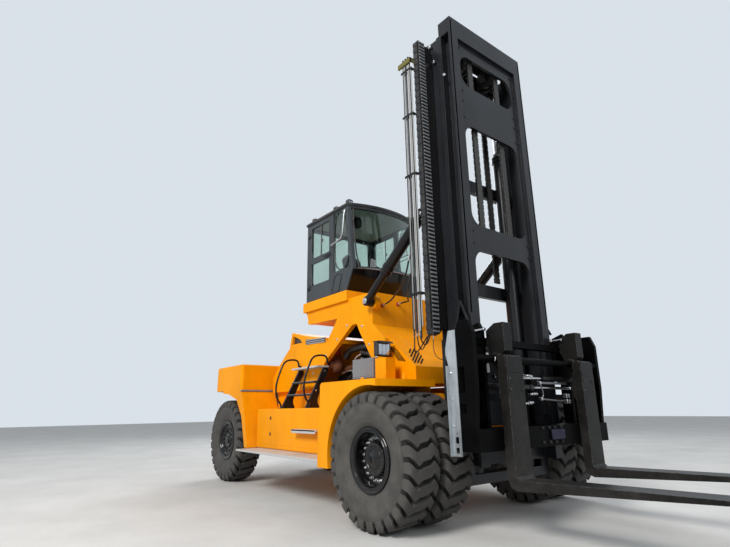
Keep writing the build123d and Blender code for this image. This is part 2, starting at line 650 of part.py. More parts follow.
# Lift cylinders: barrels on the outer mast's foot, rods up to the inner mast's head
lift_stroke = 4500
barrel_r0, rod_r0 = 95, 60
barrel_top = foot_top + lift_stroke + 260
head_low = 6800
with BuildPart() as lift_barrels:
    for side in (-1, 1):
        bar((lift_x, side * lift_y, foot_top + rest_gap), (lift_x, side * lift_y, barrel_top), barrel_r0)
        bar((lift_x, side * lift_y, barrel_top), (lift_x, side * lift_y, barrel_top + 90), barrel_r0 + 18)
        bar((lift_x, side * lift_y, 700), (lift_x, side * lift_y, barrel_top + 91), rod_r0 + running,
            Mode.SUBTRACT)
        for z in (1650, 3100, 4800):
            box(mast_rear + 41, lift_x - 80, side * lift_y - 60, side * lift_y + 60, z - 40, z + 40)
keep("lift_cylinder_barrels", lift_barrels.part)
with BuildPart() as lift_rods:
    for side in (-1, 1):
        bar((lift_x, side * lift_y, 720 + mast_raise), (lift_x, side * lift_y, head_low + mast_raise),
            rod_r0)
keep("lift_rods", lift_rods.part)

# Inner mast: front rails open outwards, arched front plates and a head over the rods
inner_low, inner_top = mast_low + mast_raise, mast_top + mast_raise
window_y = 640
plates_low, arch_top = 1300, 3520
front_windows = ((900, arch_top), (3900, 5500), (6200, 6750))
plate_set, plate_depth = 50, 45
plate_front, plate_rear = mast_front - plate_set, mast_front - plate_set - plate_depth
head_beam = 330
guide_z = 1050
guide_r = (mast_split - slide_gap - mast_rear) / 2 - rail_wall - rest_gap
with BuildPart() as inner_mast:
    box(mast_split, mast_front, channel_in, mast_y, inner_low, inner_top)
    box(mast_split + rail_wall, mast_front - rail_wall, channel_in + rail_wall, mast_y + 1, inner_low - 1,
        inner_top - 260, Mode.SUBTRACT)
    mirror(about=Plane.XZ)
    # front plates set back between the rails: the windows in them have rounded corners
    box(plate_rear, plate_front, -channel_in - 1, channel_in + 1, plates_low, inner_top)
    for low, high in front_windows:
        with BuildSketch(Plane.YZ.offset(plate_rear - 20)):
            with Locations((0, (low + high) / 2)):
                RectangleRounded(2 * window_y, high - low, 200)
        extrude(amount=plate_depth + 40, mode=Mode.SUBTRACT)
    box(plate_front - 1, mast_front, -channel_in - 1, channel_in + 1, inner_top - head_beam, inner_top)
    box(mast_split, mast_front, -channel_in - 1, channel_in + 1, head_low + mast_raise + 160, inner_top)
    box(lift_x - 100, mast_split + 1, -lift_y - 130, lift_y + 130, head_low + mast_raise, inner_top)
    box(mast_split, mast_split + 60, -channel_in - 1, channel_in + 1, inner_low, inner_low + 260)
    for side in (-1, 1):
        # guide arms and rollers that run in the outer channels
        box(mast_rear + 80, mast_split + 1, side * (channel_in - 35), side * (channel_in - slide_gap),
            guide_z - 90, guide_z + 90)
        y0, y1 = sorted((side * (channel_in - 6), side * (mast_y - rail_wall - slide_gap)))
        cross_bar((mast_rear + mast_split - slide_gap) / 2, guide_z, guide_r, y0, y1)
keep("inner_mast", inner_mast.part)

# Lift chains: two leaf chains over sheaves under the inner mast's head
sheave_r, sheave_w = 135, 150
sheave_x, sheave_z = axle_x + 575, head_low + mast_raise - sheave_r - 60
chain_pair_y = 330
strand_t, strand_w = 44, 120
link_t, link_pitch = 14, 500
rear_end_z, front_end_z = 3240, arch_top + 80


def strand(x, outward, y, low):
    """One run of a lift chain beside its sheave, with link plates that stand out from its outer face."""
    inner, outer = x - outward * strand_t / 2, x + outward * (strand_t / 2 - link_t)
    edge = []
    for i in range(int((sheave_z - 60 - low) / link_pitch)):
        z = low + 60 + i * link_pitch
        edge += [(outer, z), (outer + outward * link_t, z), (outer + outward * link_t, z + link_pitch / 2),
            (outer, z + link_pitch / 2)]
    side_plate([(inner, low), (outer, low)] + edge + [(outer, sheave_z), (inner, sheave_z)],
        y - strand_w / 2, y + strand_w / 2)


with BuildPart() as lift_chains:
    for side in (-1, 1):
        y = side * chain_pair_y
        with BuildSketch(Plane.XZ.offset(-y - sheave_w / 2)):
            with Locations((sheave_x, sheave_z)):
                RegularPolygon(sheave_r + strand_t, 12)
        extrude(amount=sheave_w)
        for y0 in (y - sheave_w / 2 - 25, y + sheave_w / 2 - 1):
            box(sheave_x - 60, sheave_x + 60, y0, y0 + 26, sheave_z - 60, head_low + mast_raise - rest_gap)
        strand(sheave_x - sheave_r - strand_t / 2, -1, y, rear_end_z)
        strand(sheave_x + sheave_r + strand_t / 2, 1, y, front_end_z)
        box(sheave_x + sheave_r + strand_t / 2, plate_rear - rest_gap, y - 50, y + 50,
            front_end_z, front_end_z + 50)
keep("lift_chains", lift_chains.part)

# Tilt cylinders: barrel pinned on the mast, rod towards the gantry's pin
tilt_run = Vector(tilt_pin[0] - head_pin[0], 0, tilt_pin[1] - head_pin[1])
tilt_dir = tilt_run.normalized()
tilt_len = tilt_run.length
tilt_back_stroke = 490
eye_r0 = 78
tilt_rod_r = 62
barrel_end = tilt_len - tilt_back_stroke - eye_r0 - 60


def along(distance, y):
    """A point on the tilt cylinder's axis, at a distance from its mast pin."""
    return (head_pin[0] + tilt_dir.X * distance, y, head_pin[1] + tilt_dir.Z * distance)


with BuildPart() as tilt_barrel:
    bar(along(70, tilt_y), along(barrel_end, tilt_y), 85)
    bar(along(barrel_end - 1, tilt_y), along(barrel_end + 50, tilt_y), 92)
    bar(along(180, tilt_y), along(barrel_end + 51, tilt_y), tilt_rod_r + running, Mode.SUBTRACT)
    cross_bar(*head_pin, 90, tilt_y - 45, tilt_y + 45)
    cross_bar(*head_pin, tilt_pin_r + running, tilt_y - 46, tilt_y + 46, Mode.SUBTRACT)
with BuildPart() as tilt_rod:
    bar(along(180 + tilt_back_stroke + 20, tilt_y), along(tilt_len - 60, tilt_y), tilt_rod_r)
    cross_bar(*tilt_pin, eye_r0, boss_y + 3 * slide_gap, tilt_y + 40)
    cross_bar(*tilt_pin, tilt_pin_r, boss_y + slide_gap, tilt_y + 50)
keep("left_tilt_barrel", tilt_barrel.part)
keep("right_tilt_barrel", mirrored(tilt_barrel.part))
keep("left_tilt_rod", tilt_rod.part)
keep("right_tilt_rod", mirrored(tilt_rod.part))

# Energy chain and tube bundle along the mast's right rear edge
chain_x, chain_y, tube_y = axle_x + 400, -tilt_y - 55, -tilt_y - 135
tube_x, tube_pitch = axle_x + 120, 55
chain_low, chain_top = 2350, 6960
rib_pitch, rib_h = 350, 150
with BuildPart() as energy_chain:
    ribs = []
    for i in range(int((chain_top - chain_low) / rib_pitch)):
        z = chain_low + 60 + i * rib_pitch
        ribs += [(chain_x + 60, z), (chain_x + 72, z), (chain_x + 72, z + rib_h), (chain_x + 60, z + rib_h)]
    side_plate([(chain_x - 72, chain_low), (chain_x + 60, chain_low)] + ribs + [(chain_x + 60, chain_top),
        (chain_x - 72, chain_top)], chain_y - 66, chain_y + 66)
    for z in (2700, 5100, 6500):
        box(chain_x - 40, chain_x + 20, chain_y + 60, -mast_y - rest_gap, z, z + 60)
keep("energy_chain", energy_chain.part)
with BuildPart() as tubes:
    for i in range(3):
        with BuildSketch(Plane.XY.offset(2420)):
            with Locations((tube_x + tube_pitch * i, tube_y)):
                RegularPolygon(17, 8)
        extrude(amount=4360)
    for z in (2900, 4700, 5700, 6700):
        box(tube_x - 25, tube_x + 135, tube_y - 25, tube_y + 25, z, z + 40)
        box(tube_x + 75, tube_x + 135, tube_y + 24, -mast_y - 110, z, z + 40)
        box(tube_x + 75, mast_rear + 40, -mast_y - 155, -mast_y - rest_gap, z, z + 40)
keep("mast_tubes", tubes.part)

# Carriage: end plates, beams, fork shaft, roller brackets outside the mast
beam_front = axle_x + fork_face - fork_t - slide_gap
roller_z = 1950
roller_r = (mast_front - mast_split) / 2 - rail_wall - rest_gap
shaft_x, shaft_z, shaft_r = axle_x + 1225, 1960, 45
end_t = 60
upper_low, upper_high = 2150, 2235
bracket_in, bracket_t = mast_y + 32, 56
with BuildPart() as carriage:
    end = [(carriage_rear, carriage_low), (carriage_rear, 2050), (carriage_rear + 60, 2250),
        (carriage_rear + 150, carriage_top), (beam_front - 60, carriage_top), (beam_front, 2250),
        (beam_front, 1650), (beam_front - 50, carriage_low)]
    side_plate(end, carriage_y - end_t, carriage_y)
    for low, high in ((1330, 1440), (1560, 1860)):
        box(carriage_rear + 110, carriage_rear + 200, carriage_y - end_t - 1, carriage_y + 1, low, high,
            Mode.SUBTRACT)
    roller_x = (mast_split + mast_front) / 2
    cross_bar(roller_x, roller_z, roller_r, mast_y - 100, mast_y + 25)
    cross_bar(roller_x, roller_z, 50, mast_y + 24, mast_y + 60)
    bracket = [(axle_x + 800, 1800), (axle_x + 645, 1980), (axle_x + 645, 2300), (carriage_rear + 100, 2430),
        (carriage_rear + 150, 2330), (carriage_rear + 150, carriage_low), (carriage_rear, carriage_low),
        (carriage_rear, 1700)]
    side_plate(bracket, bracket_in, bracket_in + bracket_t)
    box(carriage_rear, carriage_rear + 25, bracket_in + bracket_t - 1, carriage_y - end_t + 1, 1168, 2040)
    mirror(about=Plane.XZ)
    for z0, z1, x0, x1 in ((926, 1169, carriage_rear, beam_front),
            (1480, 1560, carriage_rear, carriage_rear + 90),
            (upper_low, upper_high, carriage_rear + 30, carriage_rear + 150)):
        box(x0, x1, -carriage_y + 1, carriage_y - 1, z0, z1)
    cross_bar(shaft_x, shaft_z, shaft_r, -carriage_y + 1, carriage_y - 1)
keep("carriage", carriage.part)

# Side guards: folded galvanised strips on the carriage's rear edges
guard_rear, guard_t, guard_w = carriage_rear - 30, 8, 60
with BuildPart() as guards:
    edge = [(guard_rear, 870), (guard_rear, 1880), (guard_rear - 40, 2010), (guard_rear - 40, 2080),
        (guard_rear + 20, 2300),
            (guard_rear + 130, 2300), (guard_rear + 130, 870)]
    side_plate(edge, carriage_y + rest_gap, carriage_y + rest_gap + guard_t)
    box(guard_rear, guard_rear + guard_t, carriage_y + guard_t, carriage_y + guard_w, 870, 1880)
    for z, high in ((905, 60), (1010, 70)):
        box(guard_rear + 45, guard_rear + 95, carriage_y, carriage_y + guard_w, z, z + high, Mode.SUBTRACT)
    cross_bar(guard_rear + 70, 1120, 9, carriage_y, carriage_y + guard_w, Mode.SUBTRACT)
    mirror(about=Plane.XZ)
keep("side_guards", guards.part)

# Fork positioners: a barrel on the carriage for each fork, one above the other
ram_x, ram_r, ram_rod_r = axle_x + 1130, 36, 20
ram_rows = ((1640, 1), (1760, -1))
ram_in, ram_out = 120, 1010
with BuildPart() as ram_barrels:
    for z, side in ram_rows:
        bar((ram_x, -side * ram_in, z), (ram_x, -side * ram_out, z), ram_r)
        bar((ram_x, -side * ram_in, z), (ram_x, -side * (ram_in + 60), z), ram_r + 7)
        box(carriage_rear + 150 + rest_gap, ram_x, -side * bracket_in, -side * (bracket_in + bracket_t),
            z - 30, z + 30)
        bar((ram_x, -side * (ram_in - 1), z), (ram_x, -side * (ram_out - 40), z), ram_rod_r + running,
            Mode.SUBTRACT)
keep("positioner_barrels", ram_barrels.part)

# Forks: shank, heel, tapered blade and an upright behind the shank that hangs on the shaft
fork_x = axle_x + fork_face
upright_w, upright_t = 150, 72
for name, (ram_z, side) in zip(("left", "right"), ram_rows):
    with BuildPart() as fork:
        low = fork_top - fork_t
        outline = [(fork_x - fork_t, low + 120), (fork_x - fork_t + 40, low + 30), (fork_x, low),
            (tip_x, fork_top + fork_rise - 25),
                   (tip_x, fork_top + fork_rise), (fork_x + 30, fork_top), (fork_x,
                       fork_top + 30), (fork_x, 1850),
                   (fork_x - 25, 2000), (fork_x - fork_t, 2000)]
        side_plate(outline, -fork_w / 2, fork_w / 2)
        upright = [(fork_x - fork_t + 1, 1500), (fork_x - fork_t + 1, 2010), (fork_x - 60, 2060),
            (fork_x - 60, 2400),
                   (beam_front - upright_t, 2400), (carriage_rear + 150 + slide_gap,
                       2320), (carriage_rear + 150 + slide_gap, upper_low),
                   (shaft_x - 85, shaft_z + 60), (shaft_x - 85, shaft_z - 50), (beam_front - upright_t,
                       1850),
                   (beam_front - upright_t, 1500)]
        side_plate(upright, -upright_w / 2, upright_w / 2)
        cross_bar(shaft_x, shaft_z, shaft_r + 30, -upright_w / 2 - 45, upright_w / 2 + 45)
        cross_bar(shaft_x, shaft_z, shaft_r + running, -fork_w, fork_w, Mode.SUBTRACT)
        box(ram_x - 34, beam_front - upright_t + 1, -25, 25, ram_z - 34, ram_z + 34)
        cross_bar(ram_x, ram_z, ram_rod_r + rest_gap, -fork_w, fork_w, Mode.SUBTRACT)
    with BuildPart() as ram_rod:
        bar((ram_x, side * 45, ram_z), (ram_x, -side * 1300, ram_z), ram_rod_r)
        for y in (-41, 25 + rest_gap):
            bar((ram_x, y, ram_z), (ram_x, y + 16 - rest_gap, ram_z), ram_rod_r + 12)
    place = Location((0, side * fork_y, 0))
    keep(name + "_fork", fork.part.moved(place))
    keep(name + "_positioner_rod", ram_rod.part.moved(place))
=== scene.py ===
import json
import math

import bmesh
import bpy
import numpy as np
from mathutils import Matrix, Vector


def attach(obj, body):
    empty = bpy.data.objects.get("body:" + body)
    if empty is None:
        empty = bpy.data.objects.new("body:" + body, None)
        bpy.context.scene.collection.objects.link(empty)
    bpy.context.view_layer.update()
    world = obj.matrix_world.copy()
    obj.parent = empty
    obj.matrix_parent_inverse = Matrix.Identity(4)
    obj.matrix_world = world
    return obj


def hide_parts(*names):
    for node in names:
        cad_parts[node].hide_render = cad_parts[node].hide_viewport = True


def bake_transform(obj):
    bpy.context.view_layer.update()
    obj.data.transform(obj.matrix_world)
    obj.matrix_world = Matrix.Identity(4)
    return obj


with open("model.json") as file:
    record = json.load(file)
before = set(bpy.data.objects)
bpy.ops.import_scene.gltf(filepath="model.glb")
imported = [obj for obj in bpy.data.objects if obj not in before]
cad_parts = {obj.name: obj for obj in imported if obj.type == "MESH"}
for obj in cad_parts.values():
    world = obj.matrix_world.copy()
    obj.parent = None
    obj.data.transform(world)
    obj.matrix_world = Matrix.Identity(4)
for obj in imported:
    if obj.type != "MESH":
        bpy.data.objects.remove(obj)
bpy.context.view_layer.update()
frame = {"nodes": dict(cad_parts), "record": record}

# Metres. Every place is counted from the front axle, which lies at this x of the frame
AXLE = 1.3225
REAR_AXLE = -5.46
WHEEL_Z = TYRE_R = .81
X, Y, Z = (1, 0, 0), (0, 1, 0), (0, 0, 1)
SIDES = {"right": -1, "left": 1}


# Shapes: each is (points, [index arrays of faces with the same number of corners])


def surface(p, wrap_u=False, wrap_v=False, caps=False):
    """Quads over the grid of points p[u, v]. A wrapped direction joins its last row to its first, and caps
    close both ends of u."""
    nu, nv = p.shape[:2]
    i = np.arange(nu * nv).reshape(nu, nv)
    ends = [i[:1, ::-1], i[-1:, :]] if caps else []
    if wrap_u:
        i = np.concatenate([i, i[:1]])
    if wrap_v:
        i = np.concatenate([i, i[:, :1]], 1)
    quads = np.stack([i[:-1, :-1], i[1:, :-1], i[1:, 1:], i[:-1, 1:]], -1).reshape(-1, 4)
    return p.reshape(-1, 3), [quads] + ends


def joined(*shapes):
    """All the shapes, or a list of them, as one: points stacked, indices shifted by the points before
    them."""
    points, faces, n = [], [], 0
    for v, fs in shapes[0] if isinstance(shapes[0], list) else shapes:
        points.append(v)
        faces += [f + n for f in fs]
        n += len(v)
    return np.concatenate(points), faces


def moved(shape, offset):
    return shape[0] + np.asarray(offset, float), shape[1]


def copies(shape, offsets):
    """The shape repeated at every offset: point = corner + offset."""
    v, fs = shape
    o = np.asarray(offsets, float).reshape(-1, 3)
    steps = len(v) * np.arange(len(o))[:, None, None]
    return (v[None] + o[:, None]).reshape(-1, 3), [(f[None] + steps).reshape(-1, f.shape[1]) for f in fs]


def mirrored(shape):
    """The shape with y turned to -y, its faces reversed so that they still point outwards."""
    return shape[0] * (1, -1, 1), [f[:, ::-1] for f in shape[1]]


def both(shape):
    """The shape, or a list of them, with its mirror image on the other side."""
    one = joined(shape)
    return joined(one, mirrored(one))


def basis(direction):
    """Rows: two axes across the direction, and the direction itself, all of unit length."""
    d = np.asarray(direction, float)
    d = d / np.linalg.norm(d)
    a = np.cross(X if abs(d[2]) > .99 else Z, d)
    a = a / np.linalg.norm(a)
    return np.stack([a, np.cross(d, a), d])


def aimed(shape, spots, direction):
    """The shape's own z turned to the direction, and repeated at the spots."""
    return copies((shape[0] @ basis(direction), shape[1]), spots)


def spun(profile, sides):
    """Lathe about z: point = (r cos a, r sin a, h) for each (h, r) of the profile and each of the sides'
    angles a."""
    h, r = np.asarray(profile, float).T
    a = np.linspace(0, 2 * np.pi, sides, endpoint=False)[:, None]
    return surface(np.stack([r * np.cos(a), r * np.sin(a), h + 0 * a], -1), wrap_u=True)


def wheel_turned(profile, x, z, sides=72):
    """Closed lathe about the axle: point = (x + r sin a, y, z + r cos a) for each (y, r) of the closed
    profile."""
    y, r = np.asarray(profile, float).T
    a = np.linspace(0, 2 * np.pi, sides, endpoint=False)[:, None]
    return surface(np.stack([x + r * np.sin(a), y + 0 * a, z + r * np.cos(a)], -1), wrap_u=True, wrap_v=True)


def swept(path, section, up=Z, closed=False):
    """A section carried along a path: point = path[i] + s x across[i] + t x over[i], with across square to
    the path and to up."""
    p = np.asarray(path, float)
    s = np.asarray(section, float)
    if closed:
        d = np.roll(p, -1, 0) - np.roll(p, 1, 0)
    else:
        d = np.gradient(p, axis=0)
    d = d / np.linalg.norm(d, axis=1)[:, None]
    across = np.cross(d, np.asarray(up, float))
    across = across / np.linalg.norm(across, axis=1)[:, None]
    over = np.cross(across, d)
    grid = p[:, None] + s[None, :, :1] * across[:, None] + s[None, :, 1:] * over[:, None]
    return surface(grid, wrap_u=closed, wrap_v=True, caps=not closed)


def ring(r, sides=12):
    """Section of a round tube."""
    a = np.linspace(0, 2 * np.pi, sides, endpoint=False)
    return np.stack([r * np.cos(a), r * np.sin(a)], -1)


def strip(w, h, c=.0015):
    """Section of a flat bar with cut corners."""
    a, b = w / 2, h / 2
    return np.array([(-a + c, -b), (a - c, -b), (a, -b + c), (a, b - c), (a - c, b), (-a + c, b),
        (-a, b - c), (-a, -b + c)])


def rounded(points, closed=False, rounds=3):
    """Corner cutting: each round puts two points on every run, a quarter and three quarters of the way
    along it."""
    p = np.asarray(points, float)
    for _ in range(rounds):
        q = np.roll(p, -1, 0) if closed else p[1:]
        b = p if closed else p[:-1]
        cut = np.stack([.75 * b + .25 * q, .25 * b + .75 * q], 1).reshape(-1, p.shape[1])
        p = cut if closed else np.concatenate([p[:1], cut, p[-1:]])
    return p


def tube(points, r, sides=12, rounds=3, up=Z):
    return swept(rounded(points, rounds=rounds), ring(r, sides), up)


def loop(low, high, corner, n=5):
    """A rounded rectangle in two directions: four quarter circles of the corner's radius, joined by
    straight runs."""
    (u0, v0), (u1, v1) = low, high
    a = np.linspace(0, np.pi / 2, n)
    q = corner * np.stack([np.cos(a), np.sin(a)], -1)
    parts = [(u1 - corner, v1 - corner, 1, 1), (u0 + corner, v1 - corner, -1, 1),
        (u0 + corner, v0 + corner, -1, -1), (u1 - corner, v0 + corner, 1, -1)]
    out = []
    for k, (u, v, a0, b0) in enumerate(parts):
        c = q * (a0, b0)
        out.append((c if k % 2 == 0 else c[::-1]) + (u, v))
    return np.concatenate(out)


def inset(outline, d):
    """The outline moved inwards by d: each corner slides along the mean of its two edges' inward
    normals."""
    p = np.asarray(outline, float)
    e = np.roll(p, -1, 0) - p
    area = np.sum(p[:, 0] * np.roll(p[:, 1], -1) - np.roll(p[:, 0], -1) * p[:, 1])
    n = np.stack([-e[:, 1], e[:, 0]], -1) * np.sign(area)
    n = n / np.maximum(np.linalg.norm(n, axis=1), 1e-9)[:, None]
    m = n + np.roll(n, 1, 0)
    return p + d * m / np.maximum((m * m).sum(1) / 2, .35)[:, None]


def plate(outline, low, high, cut=.002, axes="xz"):
    """A plate with cut edges: the outline at both faces is inset by the cut, and between them it is full
    size."""
    full = np.asarray(outline, float)
    small = inset(full, cut)
    t0, t1 = min(low, high), max(low, high)
    rows = [(small, t0), (full, t0 + cut), (full, t1 - cut), (small, t1)]
    third = {"xz": 1, "yz": 0, "xy": 2}[axes]
    first, second = ["xyz".index(c) for c in axes]
    grid = np.zeros((4, len(full), 3))
    for k, (o, t) in enumerate(rows):
        grid[k, :, first], grid[k, :, second], grid[k, :, third] = o[:, 0], o[:, 1], t
    return surface(grid, wrap_v=True, caps=True)


def block(low, high, cut=.003):
    """A block with cut edges all round, as a plate over the rectangle between two corners."""
    (x0, y0, z0), (x1, y1, z1) = low, high
    cut = min(cut, .4 * min(abs(x1 - x0), abs(y1 - y0), abs(z1 - z0)))
    return plate(loop((min(x0, x1), min(z0, z1)), (max(x0, x1), max(z0, z1)), cut, 2), y0, y1, cut)


def pin(profile, sides, spots, direction):
    """A lathe closed to its centre at both ends, turned to the direction and repeated at the spots."""
    rows = [(profile[0][0], 0), *profile, (profile[-1][0], 0)]
    return aimed(spun(rows, sides), spots, direction)


def hexagon_head(r, h):
    """Bolt head or nut: a six-sided lathe with its corners cut, on a round washer."""
    head = spun([(.002, 0), (.002, r), (h - .15 * r, r), (h, .86 * r), (h, 0)], 6)
    washer = spun([(-.001, 0), (-.001, 1.25 * r), (.0028, 1.3 * r), (.0028, 0)], 12)
    return joined(head, washer)


def hexagons(spots, direction, r=.014, h=.012):
    """Bolt heads on a face that looks along the direction."""
    return aimed(hexagon_head(r, h), spots, direction)


def put(name, shape, finish, body="chassis", smooth=40, stands_for=(), dust=None):
    """Makes the piece from a shape or a list of them: moved to the frame's own x, doubles merged, normals
    turned outwards, shaded smooth up to an angle, given its finish, and set to ride on its body."""
    v, fs = moved(joined(shape), (AXLE, 0, 0))
    mesh = bpy.data.meshes.new(name)
    mesh.from_pydata(v.tolist(), [], [f for a in fs for f in a.tolist()])
    if dust is not None:
        mesh.attributes.new("dust", "FLOAT", "POINT").data.foreach_set("value", np.asarray(dust, np.float32))
    b = bmesh.new()
    b.from_mesh(mesh)
    bmesh.ops.remove_doubles(b, verts=b.verts, dist=1e-5)
    bmesh.ops.dissolve_degenerate(b, edges=b.edges, dist=1e-6)
    bmesh.ops.recalc_face_normals(b, faces=b.faces)
    for f in b.faces:
        f.smooth = True
    b.to_mesh(mesh)
    b.free()
    mesh.set_sharp_from_angle(angle=math.radians(smooth))
    o = bpy.data.objects.new(name, mesh)
    bpy.context.scene.collection.objects.link(o)
    mesh.materials.append(finish)
    if body:
        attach(o, body)
    if stands_for:
        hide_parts(*stands_for)
    return o


def pair(ending, shape, finish, body="chassis"):
    """A piece on the left and its mirror image on the right. A body that starts with _ is each side's
    own."""
    left = joined(shape)
    for hand, one in (("right", mirrored(left)), ("left", left)):
        put(hand + ending, one, finish, hand + body if body[0] == "_" else body)


# Finishes


def start(name, colour, rough, metal=0.0, coat=0.0, specular=.5, **more):
    """A material with the values that are the same all over, its nodes, and the place on the piece."""
    m = bpy.data.materials.new(name)
    m.use_nodes = True
    t = m.node_tree
    values = {"Base Color": (*colour, 1), "Roughness": rough, "Metallic": metal, "Coat Weight": coat,
        "Coat Roughness": .12, "Specular IOR Level": specular, **more}
    for k, v in values.items():
        t.nodes["Principled BSDF"].inputs[k].default_value = v
    return m, t, add(t, "TexCoord").outputs["Object"]


def add(t, kind, inputs=(), **settings):
    n = t.nodes.new("ShaderNode" + kind)
    for k, v in settings.items():
        setattr(n, k, v)
    for k, v in dict(inputs).items():
        if isinstance(v, bpy.types.NodeSocket):
            t.links.new(v, n.inputs[k])
        else:
            n.inputs[k].default_value = v
    return n


def noise(t, place, scale, detail=3.0, rough=.55, stretch=None):
    if stretch:
        place = add(t, "Mapping", {"Vector": place, "Scale": stretch}).outputs[0]
    return add(t, "TexNoise", {"Vector": place, "Scale": scale, "Detail": detail,
        "Roughness": rough}).outputs[0]


def spread(t, value, a, b, c=0.0, d=1.0):
    """The value's range a to b spread over c to d, held at both ends."""
    return add(t, "MapRange", {0: value, 1: a, 2: b, 3: c, 4: d}).outputs[0]


def times(t, a, b, how="MULTIPLY"):
    return add(t, "Math", {0: a, 1: b}, operation=how).outputs[0]


def mixed(t, share, a, b):
    """Colour a turning to colour b by the share."""
    n = t.nodes.new("ShaderNodeMix")
    n.data_type = "RGBA"
    t.links.new(share, n.inputs[0])
    for k, v in ((6, a), (7, b)):
        if isinstance(v, bpy.types.NodeSocket):
            t.links.new(v, n.inputs[k])
        else:
            n.inputs[k].default_value = (*v, 1)
    return n.outputs[2]


def edges(t, radius):
    """Where the rounded normal leaves the flat one, 1 on an edge and 0 on a face, and the rounded
    normal."""
    soft = add(t, "Bevel", {"Radius": radius}, samples=4).outputs[0]
    flat = add(t, "NewGeometry").outputs["Normal"]
    dot = add(t, "VectorMath", {0: soft, 1: flat}, operation="DOT_PRODUCT").outputs["Value"]
    return spread(t, dot, .995, .86), soft


def scaled(colour, k):
    return tuple(min(1, k * c) for c in colour)


def finished(m, tone=None, rough=None, height=None, strength=0, depth=0, normal=None):
    """Joins the colour, the roughness and the bump of a height, over the normal if one is given, to the
    shader."""
    t = m.node_tree
    if height is not None:
        bump = {"Strength": strength, "Distance": depth, "Height": height}
        normal = add(t, "Bump", bump if normal is None else {**bump, "Normal": normal}).outputs[0]
    for value, socket in ((tone, "Base Color"), (rough, "Roughness"), (normal, "Normal")):
        if value is not None:
            t.links.new(value, t.nodes["Principled BSDF"].inputs[socket])
    return m


def painted(name, colour, rough, coat, worn, dust=(.42, .36, .29), dust_top=1.9, dust_share=.45, wear=.5,
        edge=.006, shift=.14, peel=.06, specular=.22):
    """Paint over steel: the colour drifts with broad noise and faint vertical streaks, dust thins with
    height, edges are rubbed where noise lets them, and an orange peel roughens the gloss."""
    m, t, place = start(name, colour, rough, 0.0, coat, specular)
    broad = noise(t, place, 1.1, 4)
    streak = noise(t, place, 3.0, 3, stretch=(2.6, 2.6, .22))
    fine = noise(t, place, 38, 5, .65)
    tone = mixed(t, spread(t, broad, .35, .65), scaled(colour, 1 - shift), scaled(colour, 1 + .55 * shift))
    tone = mixed(t, times(t, spread(t, streak, .5, .75), .22), tone, scaled(colour, .6))
    z = add(t, "SeparateXYZ", {0: place}).outputs[2]
    low = times(t, spread(t, z, .25, dust_top, 1.0, 0.0), spread(t, noise(t, place, 2.3, 6, .7), .36, .68))
    dusty = times(t, low, dust_share)
    tone = mixed(t, dusty, tone, dust)
    edge_share, soft = edges(t, edge)
    rub = times(t, times(t, edge_share, spread(t, fine, .46, .62)), wear)
    tone = mixed(t, rub, tone, worn)
    gloss = times(t, spread(t, fine, .3, .7, rough - .05, rough + .09), times(t, dusty, .4), "ADD")
    return finished(m, tone, gloss, noise(t, place, 120, 2), peel, .002, soft)


def bare(name, colour, rough, grain=(1, 1, 1), metal=1.0, stain=(.2, .17, .14), stain_share=.35,
        grain_scale=60, bump=.12):
    """Bare or plated metal: fine stretched noise as its grain, and stains in broad patches."""
    m, t, place = start(name, colour, rough, metal)
    lines = noise(t, place, grain_scale, 4, .7, stretch=grain)
    patch = noise(t, place, 3.5, 5, .6)
    tone = mixed(t, spread(t, lines, .3, .7), scaled(colour, .8), scaled(colour, 1.12))
    tone = mixed(t, times(t, spread(t, patch, .5, .78), stain_share), tone, stain)
    gloss = spread(t, lines, .25, .75, max(.03, rough - .1), rough + .14)
    return finished(m, tone, gloss, lines, bump, .001, edges(t, .003)[1])


def rubber(name, tread, wall, rough):
    """Tyre rubber: the piece's dust attribute turns black to dusty, broken up by noise, over a pitted
    skin. Where the attribute is low, in the grooves, the black that is left is painted shade."""
    m, t, place = start(name, tread, rough, specular=.3)
    share = add(t, "Attribute", attribute_name="dust").outputs["Fac"]
    cloud = noise(t, place, 5, 6, .7)
    pits = noise(t, place, 210, 4, .7)
    tone = mixed(t, spread(t, pits, .3, .7), scaled(tread, .72), scaled(tread, 1.2))
    dusty = times(t, share, spread(t, cloud, .25, .7, .35, 1.0))
    tone = mixed(t, dusty, tone, wall)
    gloss = spread(t, cloud, .3, .7, rough - .12, rough + .1)
    return finished(m, tone, gloss, times(t, pits, times(t, cloud, .6), "ADD"), .35, .002)


def plastic(name, colour, rough, scale=260, bump=.15, dusty=.12):
    """Moulded plastic or hose rubber: an even fine grain, and a little dust in broad patches."""
    m, t, place = start(name, colour, rough)
    grain = noise(t, place, scale, 3, .6)
    tone = mixed(t, spread(t, grain, .3, .7), scaled(colour, .8), scaled(colour, 1.15))
    tone = mixed(t, times(t, spread(t, noise(t, place, 4, 5), .45, .75), dusty), tone, (.4, .36, .3))
    gloss = spread(t, grain, .3, .7, max(.02, rough - .06), rough + .08)
    return finished(m, tone, gloss, grain, bump, .0008)


def pane(name, tint, rough=.03):
    """Window glass: clear with a tint, and faint dust that lifts its roughness in patches."""
    m, t, place = start(name, tint, rough, **{"Transmission Weight": 1.0, "IOR": 1.45})
    film = noise(t, place, 3.2, 5, .6)
    tone = mixed(t, spread(t, film, .4, .75), tint, scaled(tint, .94))
    return finished(m, tone, spread(t, film, .45, .8, rough, rough + .1))


